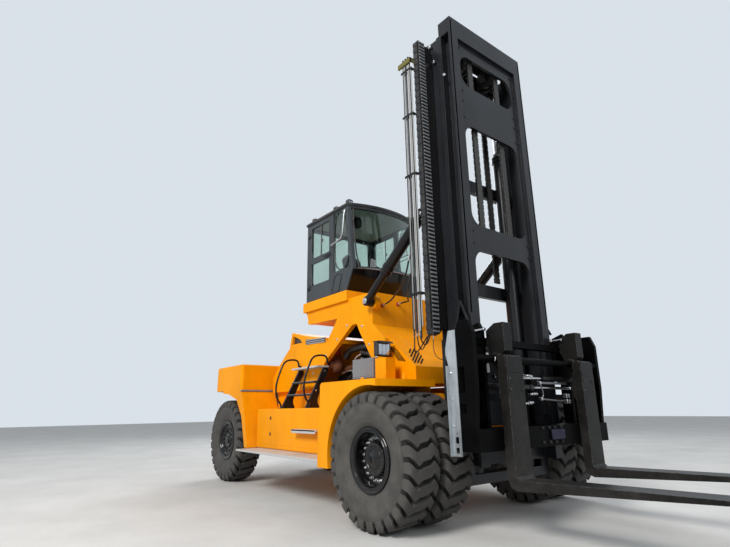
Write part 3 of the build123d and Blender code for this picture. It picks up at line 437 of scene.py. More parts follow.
def tread(name):
    """Tread plate: short raised bars that turn by a quarter from cell to cell of a checker, on worn
    metal."""
    m = bare(name, (.6, .6, .59), .5, metal=.25, stain=(.3, .27, .23), stain_share=.5)
    t = m.node_tree
    place = add(t, "TexCoord").outputs["Object"]
    diagonal = add(t, "Mapping", {"Vector": place, "Rotation": (0, 0, math.radians(45)),
        "Scale": (30, 30, 30)}).outputs[0]
    parts = add(t, "SeparateXYZ", {0: diagonal})
    u, v = parts.outputs[0], parts.outputs[1]
    check = add(t, "TexChecker", {"Vector": diagonal, "Scale": 1.0}).outputs["Fac"]
    wave = []
    for a, b in ((u, v), (v, u)):
        along, over = (times(t, c, 1.0, "PINGPONG") for c in (a, b))
        long_way = spread(t, times(t, along, .5, "SUBTRACT"), .48, .3)
        thin_way = spread(t, times(t, times(t, over, .5, "SUBTRACT"), 0, "ABSOLUTE"), .2, .08)
        wave.append(times(t, long_way, thin_way))
    bars = add(t, "Mix", {0: check, 2: wave[0], 3: wave[1]}).outputs[0]
    return finished(m, height=bars, strength=.9, depth=.003)


def woven(name, colour):
    """Woven cloth: crossed fine waves as threads over the piece's own places."""
    m, t, place = start(name, colour, .9, **{"Sheen Weight": .3})
    warp, weft = (add(t, "TexWave", {"Vector": place, "Scale": 90.0, "Distortion": 1.2},
        bands_direction=axis).outputs["Fac"] for axis in "YZ")
    thread = times(t, warp, weft, "MAXIMUM")
    return finished(m, mixed(t, thread, scaled(colour, .55), scaled(colour, 1.3)), None, thread, .4, .001)


YELLOW = painted("machine_yellow", (.93, .335, 0.0), .42, .02, (.3, .2, .12), wear=.3, dust_share=.05,
    shift=.1, specular=.1)
CHARCOAL = painted("mast_charcoal", (.012, .013, .016), .3, .06, (.09, .09, .095), dust=(.1, .095, .085),
    dust_top=7.5, dust_share=.1, wear=.6, shift=.3)
FORK_BLACK = painted("fork_charcoal", (.0085, .0082, .0078), .4, .02, (.22, .21, .2), dust=(.12, .11, .1),
    dust_top=2.6, dust_share=.28, wear=.9, edge=.01, shift=.3, specular=.14)
BLACK = painted("frame_black", (.008, .008, .009), .3, .08, (.07, .07, .07), dust=(.1, .09, .08),
    dust_top=5.0, dust_share=.08, wear=.4, shift=.25)
# Near-black for the carriage, darker and duller than the mast's charcoal: black paint deepened by painted
# shade on the carriage's front. It also fills the cowl's slots as painted shade.
PAINTED_SHADE_BLACK = painted("painted_shade_black", (.0018, .0018, .0021), .36, 0.0, (.05, .05, .05),
    dust=(.04, .037, .033), dust_top=4.0, dust_share=.07, wear=.5, shift=.3, specular=.04)
SLATE = painted("cab_slate", (.04, .049, .056), .34, .12, (.1, .1, .1), dust=(.14, .13, .12), dust_top=6.0,
    dust_share=.08, wear=.25, shift=.2)
GREY = painted("box_grey", (.21, .22, .235), .45, .1, (.4, .4, .4), wear=.4, dust_share=.15, shift=.12)
RIM_BLACK = painted("rim_gloss_black", (.003, .003, .0035), .16, .3, (.05, .045, .04), dust=(.1, .09, .08),
    dust_top=1.3, dust_share=.15, wear=.3, shift=.2, peel=.02)
HUB_GREY = painted("hub_grey", (.028, .027, .029), .5, 0.0, (.12, .11, .1), dust_share=.12, wear=.5,
    shift=.3)
CAST = painted("cast_iron", (.024, .023, .023), .6, 0.0, (.1, .09, .08), dust=(.14, .12, .1), dust_share=.3,
    wear=.5, shift=.35, peel=.4)
MANIFOLD = bare("rusty_manifold", (.2, .075, .035), .6, metal=.35, stain=(.06, .03, .02), stain_share=.7,
    bump=.5)
RED = painted("filter_red", (.4, .02, .015), .4, .2, (.2, .1, .08), wear=.3)
NAVY = painted("navy_cover", (.004, .005, .028), .4, .05, (.05, .05, .09), wear=.3, dust_share=.1)
SILVER = bare("zinc_plate", (.62, .63, .64), .3, stain_share=.2)
GALVANISED = bare("galvanised_sheet", (.5, .535, .56), .38, grain=(1, 1, .12), metal=.75,
    stain=(.3, .33, .35), stain_share=.6, grain_scale=22, bump=.1)
CHROME = bare("hard_chrome", (.66, .66, .68), .12, grain=(.2, .2, 1), stain=(.2, .19, .18), stain_share=.12,
    grain_scale=90, bump=.02)
OILED = bare("oiled_chain", (.05, .048, .045), .38, metal=.8, stain=(.03, .025, .02), stain_share=.6)
STEEL_TUBE = bare("tube_zinc", (.22, .225, .24), .34, grain=(1, 1, .1), stain_share=.3)
TREAD = tread("tread_plate")
RUBBER = rubber("tyre_rubber", (.012, .0115, .011), (.1, .094, .087), .82)
HOSE = plastic("hose_rubber", (.01, .01, .011), .45, 320, .2)
TRIM = plastic("black_moulding", (.012, .012, .013), .42)
CHAIN_PLASTIC = plastic("chain_plastic", (.012, .012, .013), .38, dusty=.08)
CHAIN_BAR = plastic("chain_bar_grey", (.13, .14, .15), .38, dusty=.1)
MARK_WHITE = plastic("mark_white", (.8, .8, .78), .45, dusty=.2)
PALE_TUBE = plastic("pale_tube", (.34, .35, .35), .4, dusty=.3)
LINING = plastic("roof_lining", (.45, .5, .46), .8, 150, .3)
OLIVE = painted("bracket_olive", (.16, .145, .04), .5, 0.0, (.3, .28, .2), wear=.5)
GLASS = pane("cab_glass", (.69, .81, .76))
LENS = pane("lamp_lens", (.93, .95, .97), .05)
CLOTH = woven("seat_cloth", (.022, .024, .028))

# The finishes of each slot. The solids wear the first
SLOTS = {"yellow_paint": [YELLOW, RED], "mast_paint": [CHARCOAL, OLIVE],
    "black_paint": [BLACK, SLATE, NAVY], "grey_paint": [GREY], "tread_plate": [TREAD],
    "galvanised": [GALVANISED], "fork_steel": [FORK_BLACK], "rod_chrome": [CHROME, SILVER],
    "tyre_rubber": [RUBBER], "rim_steel": [RIM_BLACK, HUB_GREY], "axle_steel": [CAST],
    "engine_iron": [CAST, MANIFOLD], "cab_glass": [GLASS, LENS], "seat_fabric": [CLOTH],
    "lamp_glass": [TRIM], "console_plastic": [TRIM, LINING],
    "chain_plastic": [CHAIN_PLASTIC, CHAIN_BAR, HOSE], "chain_steel": [OILED],
    "tube_steel": [STEEL_TUBE, MARK_WHITE, PALE_TUBE]}
# The carriage wears the near-black that holds painted shade on its front.
NODE_FINISH = {"carriage": PAINTED_SHADE_BLACK, "cab_shell": SLATE, "left_door": SLATE, "right_door": SLATE,
    "positioner_barrels": BLACK, "left_tilt_barrel": BLACK, "right_tilt_barrel": BLACK}
for row in frame["record"]["subparts"]:
    node = frame["nodes"][row["node"]]
    paint = NODE_FINISH.get(row["node"]) or SLOTS[row["material_slot"]][0]
    node.data.materials.clear()
    node.data.materials.append(paint)


# Tyres

LUGS = 26
HALF_WALL = [(.168, .3175), (.17, .372), (.18, .392), (.19, .402), (.193, .412), (.2, .418), (.216, .452),
    (.228, .492), (.232, .498), (.233, .506), (.238, .535), (.244, .575), (.2465, .608), (.247, .616),
    (.247, .626), (.244, .634), (.243, .655), (.2385, .69), (.23, .722), (.214, .738), (.185, .744),
    (.12, .746), (.05, .747)]
LUG_TOP = [(0, .81), (.06, .81), (.12, .809), (.165, .807), (.195, .802), (.217, .792), (.232, .775),
    (.241, .75), (.2455, .715), (.246, .685), (.24, .668)]
LUG_FOOT = [(0, .735), (.06, .735), (.12, .734), (.15, .732), (.175, .73), (.19, .725), (.2, .715),
    (.208, .7), (.216, .685), (.222, .67), (.23, .66)]
WAVE_Y = (-.26, -.235, -.115, -.035, .035, .115, .235, .26)
WAVE_S = (-.06, -.056, .06, -.014, .014, -.06, .056, .06)


def carcass(x, y, z):
    """Lathe of the mirrored wall profile, and how dusty each point is: most on the walls, and almost
    none on the groove floors, which is painted shade in the grooves."""
    half = np.array(HALF_WALL)
    profile = np.concatenate([half * (-1, 1), half[::-1]])
    sides = 130
    shape = wheel_turned(profile + (y, 0), x, z, sides)
    dust = np.clip(1.1 - 3.2 * np.maximum(0, profile[:, 1] - .66) / .08, .03, 1)
    return shape, np.tile(dust, sides)


def tread_lugs(x, y, z):
    """Lugs across the tread: the section's corners lie at (offset w, share h) between foot and top lines,
    turned about the axle by (wave(y) + w) / radius, one lug per equal share of the turn."""
    top, foot = np.array(LUG_TOP), np.array(LUG_FOOT)
    top = np.concatenate([top[::-1] * (-1, 1), top[1:]])
    foot = np.concatenate([foot[::-1] * (-1, 1), foot[1:]])
    wave = np.interp(top[:, 0], WAVE_Y, WAVE_S)
    w = np.array([-.076, -.067, -.061, .061, .067, .076])
    h = np.array([0, .86, 1, 1, .86, 0])
    line = foot[:, None] + h[None, :, None] * (top - foot)[:, None]
    around = (wave[:, None] + w[None]) / TYRE_R
    lugs = 2 * np.pi * np.arange(LUGS) / LUGS
    a = around[None] + lugs[:, None, None]
    r, across = np.broadcast_to(line[None, ..., 1], a.shape), np.broadcast_to(line[None, ..., 0], a.shape)
    p = np.stack([x + r * np.sin(a), y + across, z + r * np.cos(a)], -1)
    one = surface(p[0], wrap_v=True, caps=True)
    n = p[0].size // 3
    faces = [(f[None] + n * np.arange(LUGS)[:, None, None]).reshape(-1, f.shape[1]) for f in one[1]]
    # Dust share: more on the shoulders and the lug tops, little down the lugs' sides, which paints the
    # grooves' shade.
    dust = np.clip(.62 + .38 * np.clip((np.abs(top[:, 0]) - .2) / .05, 0, 1)[:, None] * np.ones(6), 0,
        1) * (.15 + .85 * h ** 2)
    return (p.reshape(-1, 3), faces), np.tile(dust.ravel(), LUGS)


TWIN_Y, SINGLE_Y = (1.1625, 1.7375), (1.285,)

# Rim outlines as (place along the axle, radius), from the outer flange round the dish and hub and back inside
FRONT_RIM = [(1.9128, .386), (1.922, .3885), (1.936, .387), (1.9425, .38), (1.9425, .366), (1.934, .354),
    (1.934, .34), (1.939, .335), (1.939, .322), (1.93, .314), (1.916, .309), (1.905, .303), (1.85, .299),
    (1.806, .294), (1.792, .288), (1.788, .28), (1.786, .226), (1.793, .208), (1.804, .2), (1.838, .198),
    (1.85, .19), (1.852, .182), (1.852, .152), (1.847, .147), (1.847, .122), (1.854, .114), (1.858, .096),
    (1.858, .05), (1.862, .044), (1.862, 0), (1.812, 0), (1.812, .101), (1.19, .101), (1.19, .18),
    (1.755, .18), (1.755, .2947), (.9575, .2947), (.9575, .384), (.963, .388), (.987, .388), (.987, .317),
    (1.3378, .317), (1.3378, .388), (1.5622, .388), (1.5622, .317), (1.9128, .317)]
REAR_RIM = [(1.4603, .386), (1.47, .3885), (1.484, .387), (1.49, .38), (1.49, .366), (1.482, .354),
    (1.482, .34), (1.487, .335), (1.487, .322), (1.478, .314), (1.464, .308), (1.444, .299), (1.432, .288),
    (1.4255, .275), (1.425, .262), (1.425, .172), (1.431, .156), (1.44, .15), (1.45, .148), (1.456, .14),
    (1.456, .1), (1.452, .094), (1.452, .07), (1.47, .064), (1.474, .05), (1.474, 0), (1.41, 0),
    (1.41, .0706), (1.17, .0706), (1.17, .15), (1.4, .15), (1.4, .2947), (1.08, .2947), (1.08, .384),
    (1.086, .388), (1.1097, .388), (1.1097, .317), (1.4603, .317)]

for end, hand in (("front", "left"), ("front", "right"), ("rear", "left"), ("rear", "right")):
    name, side, front = end + "_" + hand, SIDES[hand], end == "front"
    x, centres, many = (0, TWIN_Y, "s") if front else (REAR_AXLE, SINGLE_Y, "")
    shapes, dust_and_groove_shades = [], []
    for y in centres:
        for shape, dust in (carcass(x, side * y, WHEEL_Z), tread_lugs(x, side * y, WHEEL_Z)):
            shapes.append(shape)
            dust_and_groove_shades.append(dust)
    wheel = name + "_wheel"
    put(name + "_tyre_detail", shapes, RUBBER, wheel, smooth=32, stands_for=[name + "_tyre" + many],
        dust=np.concatenate(dust_and_groove_shades))
    outline = np.array(FRONT_RIM if front else REAR_RIM) * (side, 1)
    put(name + "_rim_detail", wheel_turned(outline, x, WHEEL_Z, 96), RIM_BLACK, wheel, smooth=35,
        stands_for=[name + "_rim" + many])
    face, nut_r, count = (1.7865, .252, 20) if front else (1.425, .222, 16)
    a = 2 * np.pi * (np.arange(count) + .5) / count
    out = (0, side, 0)
    spots = np.stack([x + nut_r * np.sin(a), np.full(count, side * face), WHEEL_Z + nut_r * np.cos(a)], -1)
    nut = joined(hexagon_head(.0185, .026), spun([(.02, 0), (.02, .0105), (.04, .0105), (.044, .007),
        (.044, 0)], 8))
    put(name + "_wheel_nuts", aimed(nut, spots, out), SILVER if front else HUB_GREY, wheel)
    cap_face, cap_r, cap_count = (1.8495, .167, 12) if front else (1.4535, .118, 8)
    a = 2 * np.pi * np.arange(cap_count) / cap_count
    spots = np.stack([x + cap_r * np.sin(a), np.full(cap_count, side * cap_face),
        WHEEL_Z + cap_r * np.cos(a)], -1)
    put(name + "_hub_bolts", aimed(hexagon_head(.01, .01), spots, out), HUB_GREY, wheel)
    # The valve's bent stem leans out of the dish beside the flange
    vy = 1.905 if front else 1.455
    stem = [(x, side * (vy - .05), WHEEL_Z - .3), (x, side * vy, WHEEL_Z - .292),
        (x, side * (vy + .022), WHEEL_Z - .275), (x, side * (vy + .03), WHEEL_Z - .245)]
    put(name + "_valve_stem", tube(stem, .006, 8, up=X), SILVER, wheel)


# Mast: energy chain, tubes, lift chains

CHAIN_X, CHAIN_Y, TUBE_Y, MAST_REAR, MAST_SIDE = .4, -1.12, -1.2, .34, -.8855
CHAIN_LOW, CHAIN_TOP = 2.35, 6.96
pitch = .0576
count = int((CHAIN_TOP - CHAIN_LOW) / pitch)
heights = CHAIN_LOW + (np.arange(count) + .5) * pitch
cheek = plate(loop((-.066, -.034), (.066, .034), .016, 3), -.006, .006)
bar = block((-.008, -.06, -.013), (.008, .06, .013))
spots = np.stack([np.full(count, CHAIN_X), np.full(count, CHAIN_Y), heights], -1)
stagger = .004 * (1 - 2 * (np.arange(count) % 2))[:, None] * Y
links = [copies(cheek, spots + stagger + (0, y, 0)) for y in (-.056, .056)]
ribs = [copies(bar, spots + (x, 0, 0)) for x in (-.064, .064)]
brackets = [block((CHAIN_X - .04, CHAIN_Y + .05, z), (CHAIN_X + .02, MAST_SIDE, z + .06), .004)
    for z in (2.7, 5.1, 6.5)]
put("energy_chain_links", [*links, *brackets], CHAIN_PLASTIC, "mast", smooth=35, stands_for=["energy_chain"])
put("energy_chain_bars", ribs, CHAIN_BAR, "mast", smooth=35)
inner = [tube([(CHAIN_X + dx, CHAIN_Y + dy, CHAIN_LOW - .02),
    (CHAIN_X + dx, CHAIN_Y + dy, CHAIN_TOP + .01)], r, 10, 1, X) for dx, dy, r in ((-.03, -.028, .018),
    (.022, -.024, .021), (-.02, .028, .02), (.03, .022, .015))]
put("energy_chain_lines", inner, HOSE, "mast")


def upright_run(name, rows, finish, stands_for=()):
    """Straight tubes side by side on the mast, each row (x, y from the tubes' plane, radius, foot, top)."""
    pipes = [tube([(x, TUBE_Y + dy, lo), (x, TUBE_Y + dy, hi)], r, 12, 1, X) for x, dy, r, lo, hi in rows]
    put(name, pipes, finish, "mast", smooth=35, stands_for=stands_for)


upright_run("mast_steel_tubes", [(x, 0, .0165, 2.42, 6.78) for x in (.12, .175, .23)], BLACK,
    ["mast_tubes"])
upright_run("mast_hoses", [(.147, -.026, .01, 2.34, 6.72), (.205, -.026, .011, 2.38, 6.7),
    (.262, -.004, .013, 2.3, 6.66)], HOSE)
upright_run("mast_pale_tubes", [(.161, -.03, .0065, 2.44, 6.64), (.25, -.028, .0095, 2.4, 6.6),
    (.276, -.03, .008, 2.4, 6.6), (.3, -.012, .0095, 2.46, 6.56)], PALE_TUBE)
clips = []
for z in (2.9, 4.7, 5.7, 6.5):
    clips += [block((.095, TUBE_Y - .04, z), (.315, TUBE_Y - .03, z + .04)),
        block((.095, TUBE_Y + .012, z), (.315, TUBE_Y + .022, z + .04)),
        block((.3, TUBE_Y - .035, z + .005), (.325, -.9, z + .035)),
        block((.3, -.93, z), (MAST_REAR + .04, MAST_SIDE, z + .04), .004)]
put("mast_tube_clips", clips, BLACK, "mast")
put("tube_bracket", [block((.05, -1.26, 6.62), (.335, -1.225, 6.7), .004),
    block((.315, -1.26, 6.62), (.335, MAST_SIDE, 6.7), .004)], OLIVE, "mast")

backing = [block((.44, -1.205, 2.42), (.446, MAST_SIDE, 6.93), .002),
    block((.34, -.925, 2.42), (.446, -.919, 6.93), .002)]
put("energy_chain_backing", backing, BLACK, "mast")

# Lift chains: plates with a waist, packed wide and narrow by turns, and pins through them, over two sheaves
PAIR_Y, SHEAVE_X, SHEAVE_Z, SHEAVE_R, HALF_T = .33, .575, 6.835, .135, .022


def leaf(length, high):
    """Outline of one chain plate: two round ends of half the height, drawn in by a fifth at the waist."""
    a = np.linspace(-np.pi / 2, np.pi / 2, 6)
    end = np.stack([length / 2 + high / 2 * np.cos(a), high / 2 * np.sin(a)], -1)
    waist = np.array([(0, high * .38)])
    return np.concatenate([end, waist, -end, -waist])


CHAIN_PITCH, PACKS = .0508, (.058, .046)
one_leaf = leaf(CHAIN_PITCH, .04)
packs = [plate(one_leaf[:, ::-1], -w, w) for w in PACKS]
shapes = []
for side in SIDES.values():
    y = side * PAIR_Y
    for x, low in ((SHEAVE_X - SHEAVE_R - HALF_T, 3.24), (SHEAVE_X + SHEAVE_R + HALF_T, 3.6)):
        count = int((SHEAVE_Z - low) / CHAIN_PITCH)
        z = low + .05 + CHAIN_PITCH * np.arange(count)
        spots = np.stack([np.full(count, x), np.full(count, y), z], -1)
        shapes += [copies(pack, spots[k::2]) for k, pack in enumerate(packs)]
        shapes.append(pin([(-.062, .008), (.062, .008)], 8, spots + (0, 0, CHAIN_PITCH / 2), Y))
    arc = np.linspace(np.pi, 0, 11)[1:-1]
    for k, a in enumerate(arc):
        r = SHEAVE_R + HALF_T
        spot = (SHEAVE_X + r * math.cos(a), y, SHEAVE_Z + r * math.sin(a))
        points, faces = packs[k % 2]
        turned = points @ np.array([[math.sin(a), 0, -math.cos(a)], [0, 1, 0],
            [math.cos(a), 0, math.sin(a)]])
        shapes.append(moved((turned, faces), spot))
    # Anchor block at the front plates, hangers, and the sheave with its pin
    shapes.append(block((.731, y - .05, 3.6), (.7647, y + .05, 3.69), .005))
    for h0 in (-.104, .078):
        shapes.append(block((SHEAVE_X - .06, y + h0, 6.76), (SHEAVE_X + .06, y + h0 + .025, 7.0297), .005))
    groove = [(-.075, 0), (-.075, .175), (-.062, .177), (-.058, .137), (.058, .137), (.062, .177),
        (.075, .175), (.075, 0)]
    shapes.append(aimed(spun(groove, 40), [(SHEAVE_X, y, SHEAVE_Z)], Y))
    shapes.append(pin([(-.108, .042), (-.1, .046), (.1, .046), (.108, .042)], 20, [(SHEAVE_X, y, SHEAVE_Z)],
        Y))
put("leaf_chains", shapes, OILED, "inner_mast", smooth=35, stands_for=["lift_chains"])

# Hoses: each follows a smooth line along its route, from a crimped fitting to where it goes back in


def hose_line(name, route):
    """The route as a smooth line: points read from a NURBS spline of order 3 with the route as its control
    points."""
    curve = bpy.data.curves.new(name + "_line", "CURVE")
    curve.dimensions = "3D"
    curve.resolution_u = 14
    spline = curve.splines.new("NURBS")
    spline.points.add(len(route) - 1)
    spline.points.foreach_set("co", np.concatenate([route, np.ones((len(route), 1))], 1).ravel())
    spline.order_u = 3
    spline.use_endpoint_u = True
    o = bpy.data.objects.new(name + "_line", curve)
    bpy.context.scene.collection.objects.link(o)
    bpy.context.view_layer.update()
    mesh = bpy.data.meshes.new_from_object(o.evaluated_get(bpy.context.evaluated_depsgraph_get()))
    line = np.array([v.co for v in mesh.vertices])
    bpy.data.objects.remove(o)
    bpy.data.meshes.remove(mesh)
    bpy.data.curves.remove(curve)
    return line


def fitting(r):
    """Crimped hose end along z: stem, nut, ribbed ferrule, and a sleeve that thins onto the hose."""
    rows = [(-.012, .9), (-.012, 1.35), (.012, 1.35), (.014, 1.05), (.02, 1.05), (.022, 1.3), (.03, 1.34),
        (.034, 1.26), (.042, 1.34), (.046, 1.26), (.054, 1.32), (.058, 1.16), (.08, 1.06), (.082, .98)]
    return spun([(h, r * k) for h, k in rows], 14)


def hose(name, diameter, route, crosses):
    """A free hose with a fitting at each end. It rides on the mast, or it crosses the tilt's pivot, and then
    it rides on no body and its points are set where they lie."""
    line = hose_line(name, route)
    body, up = (None, Z) if crosses else ("mast", (1, 0, .3))
    piece = put(name, swept(line, ring(diameter / 2), up), HOSE, body, smooth=60)
    end = fitting(diameter / 2)
    near = put(name + "_fittings", [aimed(end, [line[0]], line[1] - line[0]),
        aimed(end, [line[-1]], line[-2] - line[-1])], SILVER, body)
    if crosses:
        for part in (piece, near):
            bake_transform(part)


# Name, diameter, length and route of each
HOSES = [("tilt_hose_low", .026, 1.6, [(-1.075, -.4, 3.1), (-.96, -.4, 3.11), (-.8, -.45, 3.09),
    (-.62, -.59, 3.05), (-.44, -.77, 3.02), (-.27, -.94, 3.01), (-.12, -1.07, 3.04), (-.01, -1.15, 3.11),
    (.06, -1.18, 3.21), (.098, -1.19, 3.33)]), ("tilt_hose_high", .026, 1.45,
    [(-1.075, -.74, 3.04), (-.96, -.74, 3.06), (-.8, -.77, 3.1), (-.62, -.85, 3.14), (-.44, -.94, 3.16),
    (-.27, -1.04, 3.18), (-.12, -1.13, 3.22), (-.01, -1.18, 3.3), (.05, -1.2, 3.4), (.092, -1.205, 3.52)]),
    ("mast_foot_hose_rear", .018, .8, [(.12, -1.2, 2.42), (.12, -1.2, 2.33), (.105, -1.19, 2.23),
    (.06, -1.15, 2.15), (.02, -1.08, 2.14), (.01, -1.0, 2.2), (.05, -.95, 2.3), (.12, -.93, 2.39),
    (.215, -.925, 2.44)]), ("mast_foot_hose_mid", .018, .7,
    [(.175, -1.2, 2.42), (.175, -1.2, 2.34), (.17, -1.18, 2.24), (.14, -1.12, 2.18), (.11, -1.05, 2.18),
    (.105, -.99, 2.24), (.13, -.96, 2.33), (.17, -.96, 2.42), (.24, -.96, 2.48)]),
    ("mast_foot_hose_front", .018, .56, [(.23, -1.2, 2.42), (.23, -1.2, 2.35), (.225, -1.17, 2.27),
    (.21, -1.11, 2.23), (.2, -1.04, 2.25), (.205, -1.0, 2.33), (.23, -.99, 2.42), (.262, -.98, 2.505)]),
    ("mast_foot_lead", .01, .48, [(.4, -1.12, 2.36), (.4, -1.12, 2.3), (.388, -1.12, 2.22),
    (.38, -1.11, 2.14), (.382, -1.08, 2.07), (.388, -1.02, 2.03), (.4, -.96, 2.02), (.4, -.905, 2.02)])]
for name, diameter, length, route in HOSES:
    hose(name, diameter, route, crosses=name.startswith("tilt"))
put("mast_foot_block", [block((.215, -1.01, 2.4), (.335, -.886, 2.58), .006),
    hexagons([(.275, -1.01, z) for z in (2.43, 2.55)], (0, -1, 0), .01, .008)], CAST, "mast")
boss = spun([(.0003, 0), (.0003, .034), (.01, .034), (.014, .026), (.022, .026), (.022, 0)], 16)
put("hose_bosses", aimed(boss, [(-1.1, -.4, 3.1), (-1.1, -.74, 3.04)], X), RED)

# Bare slide faces on the mast's flanges, its plates' bolts, and the hanger and roller pins at its head
slides = [block((x, -.878, low), (x + .003, -.85, high), .001) for x, low, high in ((.6225, 1.05, 7.2),
    (.857, 2.6, 7.24))]
put("mast_slide_faces", both(slides), STEEL_TUBE, "inner_mast")
seam = [hexagons([(.8105, y, z) for z in (3.62, 3.8, 5.62, 5.9, 6.08, 6.86)], X, .016, .014)
    for y in (.665, .64)]
put("mast_plate_bolts", both(seam), BLACK, "inner_mast")
hook = plate(inset(rounded([(.69, 7.0), (.69, 6.56), (.7, 6.5), (.735, 6.46), (.775, 6.5), (.775, 6.56),
    (.748, 6.56), (.735, 6.52), (.722, 6.56), (.722, 7.0)], True, 2), 0) * (1, 1), .8105, .8225, .002, "yz")
put("head_hanger_plate", hook, BLACK, "inner_mast")
put("head_roller_pins", [aimed(spun([(0, 0), (0, .03), (.03, .03), (.04, .022), (.042, 0)], 20),
    [(x, MAST_SIDE, z)], (0, -1, 0)) for x, z in ((.5, 6.66), (.44, 6.98), (.7, 6.3))], CHROME, "mast")

# Chromed sleeves above the lift cylinders' glands
gland = aimed(spun([(0, .0605), (.03, .085), (.07, .085), (.09, .0605)], 32), [(.49, .56, 5.44)], Z)
put("lift_gland_rings", both(gland), STEEL_TUBE, "mast")

# Carriage and forks

FORK_Y = .82
bolt = spun([(0, 0), (0, .021), (.014, .024), (.03, .024), (.034, .018), (.15, .018), (.154, .023),
    (.186, .023), (.192, .016), (.192, 0)], 20)
pair("_fork_stop_pin", aimed(bolt, [(.962, FORK_Y - .103, 2.315)], X), CHROME, "_fork")
pair("_bracket_bolt", aimed(bolt, [(.965, .9985, 2.326)], X), CHROME, "carriage")
dome = spun([(0, 0), (0, .04), (.012, .04), (.026, .034), (.036, .02), (.04, 0)], 24)
pair("_bracket_dome", aimed(dome, [(1.237, .9733, 1.957)], Y), CHROME, "carriage")
pair("_shaft_eye_dome", aimed(dome, [(1.2965, FORK_Y - .095, 1.955)], X), CHROME, "_fork")
cover = plate(loop((FORK_Y - .15, 1.795), (FORK_Y + .15, 1.985), .02, 4), 1.4, 1.4105, .004, "yz")
heel = hexagons([(1.4055, FORK_Y + dy, z) for dy in (-.11, .11) for z in (1.72, 1.6)], X)
pair("_shank_wear_strip", [cover, heel], FORK_BLACK, "_fork")

bars = [block((1.19, -.02, 1.682), (1.206, .62, 1.714), .004),
    tube([(1.2, -.03, 1.495), (1.2, .3, 1.476), (1.2, .66, 1.456)], .013),
    tube([(1.198, -.02, 1.69), (1.202, .02, 1.6), (1.202, .03, 1.54), (1.198, -.01, 1.497)], .009, 10)]
put("positioner_bars", bars, STEEL_TUBE, "carriage")
clamps = [plate(loop((1.15, z - .03), (1.213, z + .03), .012, 4), y - .016, y + .016, .004)
    for y in (.585, .64) for z in (1.535, 1.46)]
clamps += [plate(loop((1.16, z - .022), (1.213, z + .022), .012, 4), -.032, 0.0, .004)
    for z in (1.699, 1.495)]
put("positioner_clamps", clamps, SILVER, "carriage")
elbow = [(0, .012), (0.0, .02), (.022, .02), (.022, .013), (.062, .013), (.062, .018), (.085, .018),
    (.088, .012)]
ports = [pin(elbow, 12, [(1.195, y, z)], (0, 1, tilt)) for y, z, tilt in ((-.265, 1.785, -.1),
    (-.195, 1.555, .05), (-.34, 1.44, 0), (-.3, 1.452, 0))]
ports += [tube([(1.145, y, z), (1.185, y, z), (1.195, y + .03, z)], .013, 10)
    for y, z in ((-.285, 1.785), (-.215, 1.555), (-.36, 1.44))]
put("positioner_ports", ports, SILVER, "carriage")
marks = [block((1.13, -.9865, z), (1.16, -.9735, z + .105), .0008) for z in (1.805, 1.935)]
put("bracket_edge_marks", marks, MARK_WHITE, "carriage")
drum = spun([(0, 0), (0, .055), (.01, .085), (.02, .092), (.085, .092), (.096, .084), (.1, .05),
    (.11, .044), (.11, 0)], 40)
put("carriage_side_rollers", both(aimed(drum, [(.8, .982, 1.965)], Y)), CAST, "carriage")
put("roller_grease_caps", both(aimed(spun([(0, 0), (0, .016), (.008, .016), (.014, .01), (.016, 0)], 16),
    [(.8, 1.0915, 1.965)], Y)), SILVER, "carriage")
brace = [swept([(.7, .895, 2.78), (x, .93, 2.44)], strip(.035, .012), Y) for x in (.64, .86)]
put("mast_side_braces", both(brace), CHARCOAL, "carriage")
beam_bolts = hexagons([(1.2885, y, z) for y in (.06, .205) for z in (.975, 1.145)], X, .017, .016)
put("beam_bolts", both(beam_bolts), BLACK, "carriage")
put("valve_cover", [block((1.2885, -.04, 1.0), (1.318, .255, 1.125), .012),
    hexagons([(1.318, y, 1.065) for y in (-.01, .225)], X, .009, .008)], NAVY, "carriage")
lash = [aimed(spun([(-.008, .03), (-.004, .04), (.004, .04), (.008, .03), (.004, .026), (-.004, .026)], 24),
    [(1.02, 1.352, z)], Y) for z in (2.32, 1.02)]
put("end_plate_eyes", both(lash), BLACK, "carriage")
guard_bolts = hexagons([(.93, 1.4088, z) for z in (1.2, 1.5, 1.8)], Y, .012, .01)
put("side_guard_bolts", both(guard_bolts), SILVER, "carriage")

# Tilt cylinders

HEAD_PIN, TILT_PIN = np.array((.23, 1.065, 4.12)), np.array((-1.08, 1.065, 3.07))
SLOPE = (TILT_PIN - HEAD_PIN) / np.linalg.norm(TILT_PIN - HEAD_PIN)
gland = aimed(spun([(0, .0855), (0, .096), (.02, .098), (.05, .098), (.055, .09), (.075, .09),
    (.075, .064)], 36), [HEAD_PIN + SLOPE * .95], SLOPE)
ports = pin([(.06, .024), (.098, .024), (.098, .017), (.118, .017), (.118, .021), (.135, .021)], 12,
    [HEAD_PIN + SLOPE * d for d in (.2, .86)], (.35, .35, .75))
pair("_tilt_gland", gland, BLACK, "_tilt_barrel")
pair("_tilt_ports", ports, SILVER, "_tilt_barrel")
line = [HEAD_PIN + SLOPE * d + (r, r, h) for d, r, h in ((.2, .045, .098), (.26, .04, .105),
    (.8, .04, .105), (.86, .045, .098))]
pair("_tilt_line", tube(line, .01, 10), STEEL_TUBE, "_tilt_barrel")
washer = spun([(0, 0), (0, .05), (.006, .052), (.014, .052), (.018, .046), (.018, .03), (.026, .028),
    (.028, 0)], 28)
pair("_tilt_rod_pin_end", aimed(washer, [(-1.08, 1.113, 3.07)], Y), SILVER, "_tilt_rod")
pair("_tilt_head_pin_end", aimed(washer, [(.23, 1.113, 4.12)], Y), SILVER, "mast")
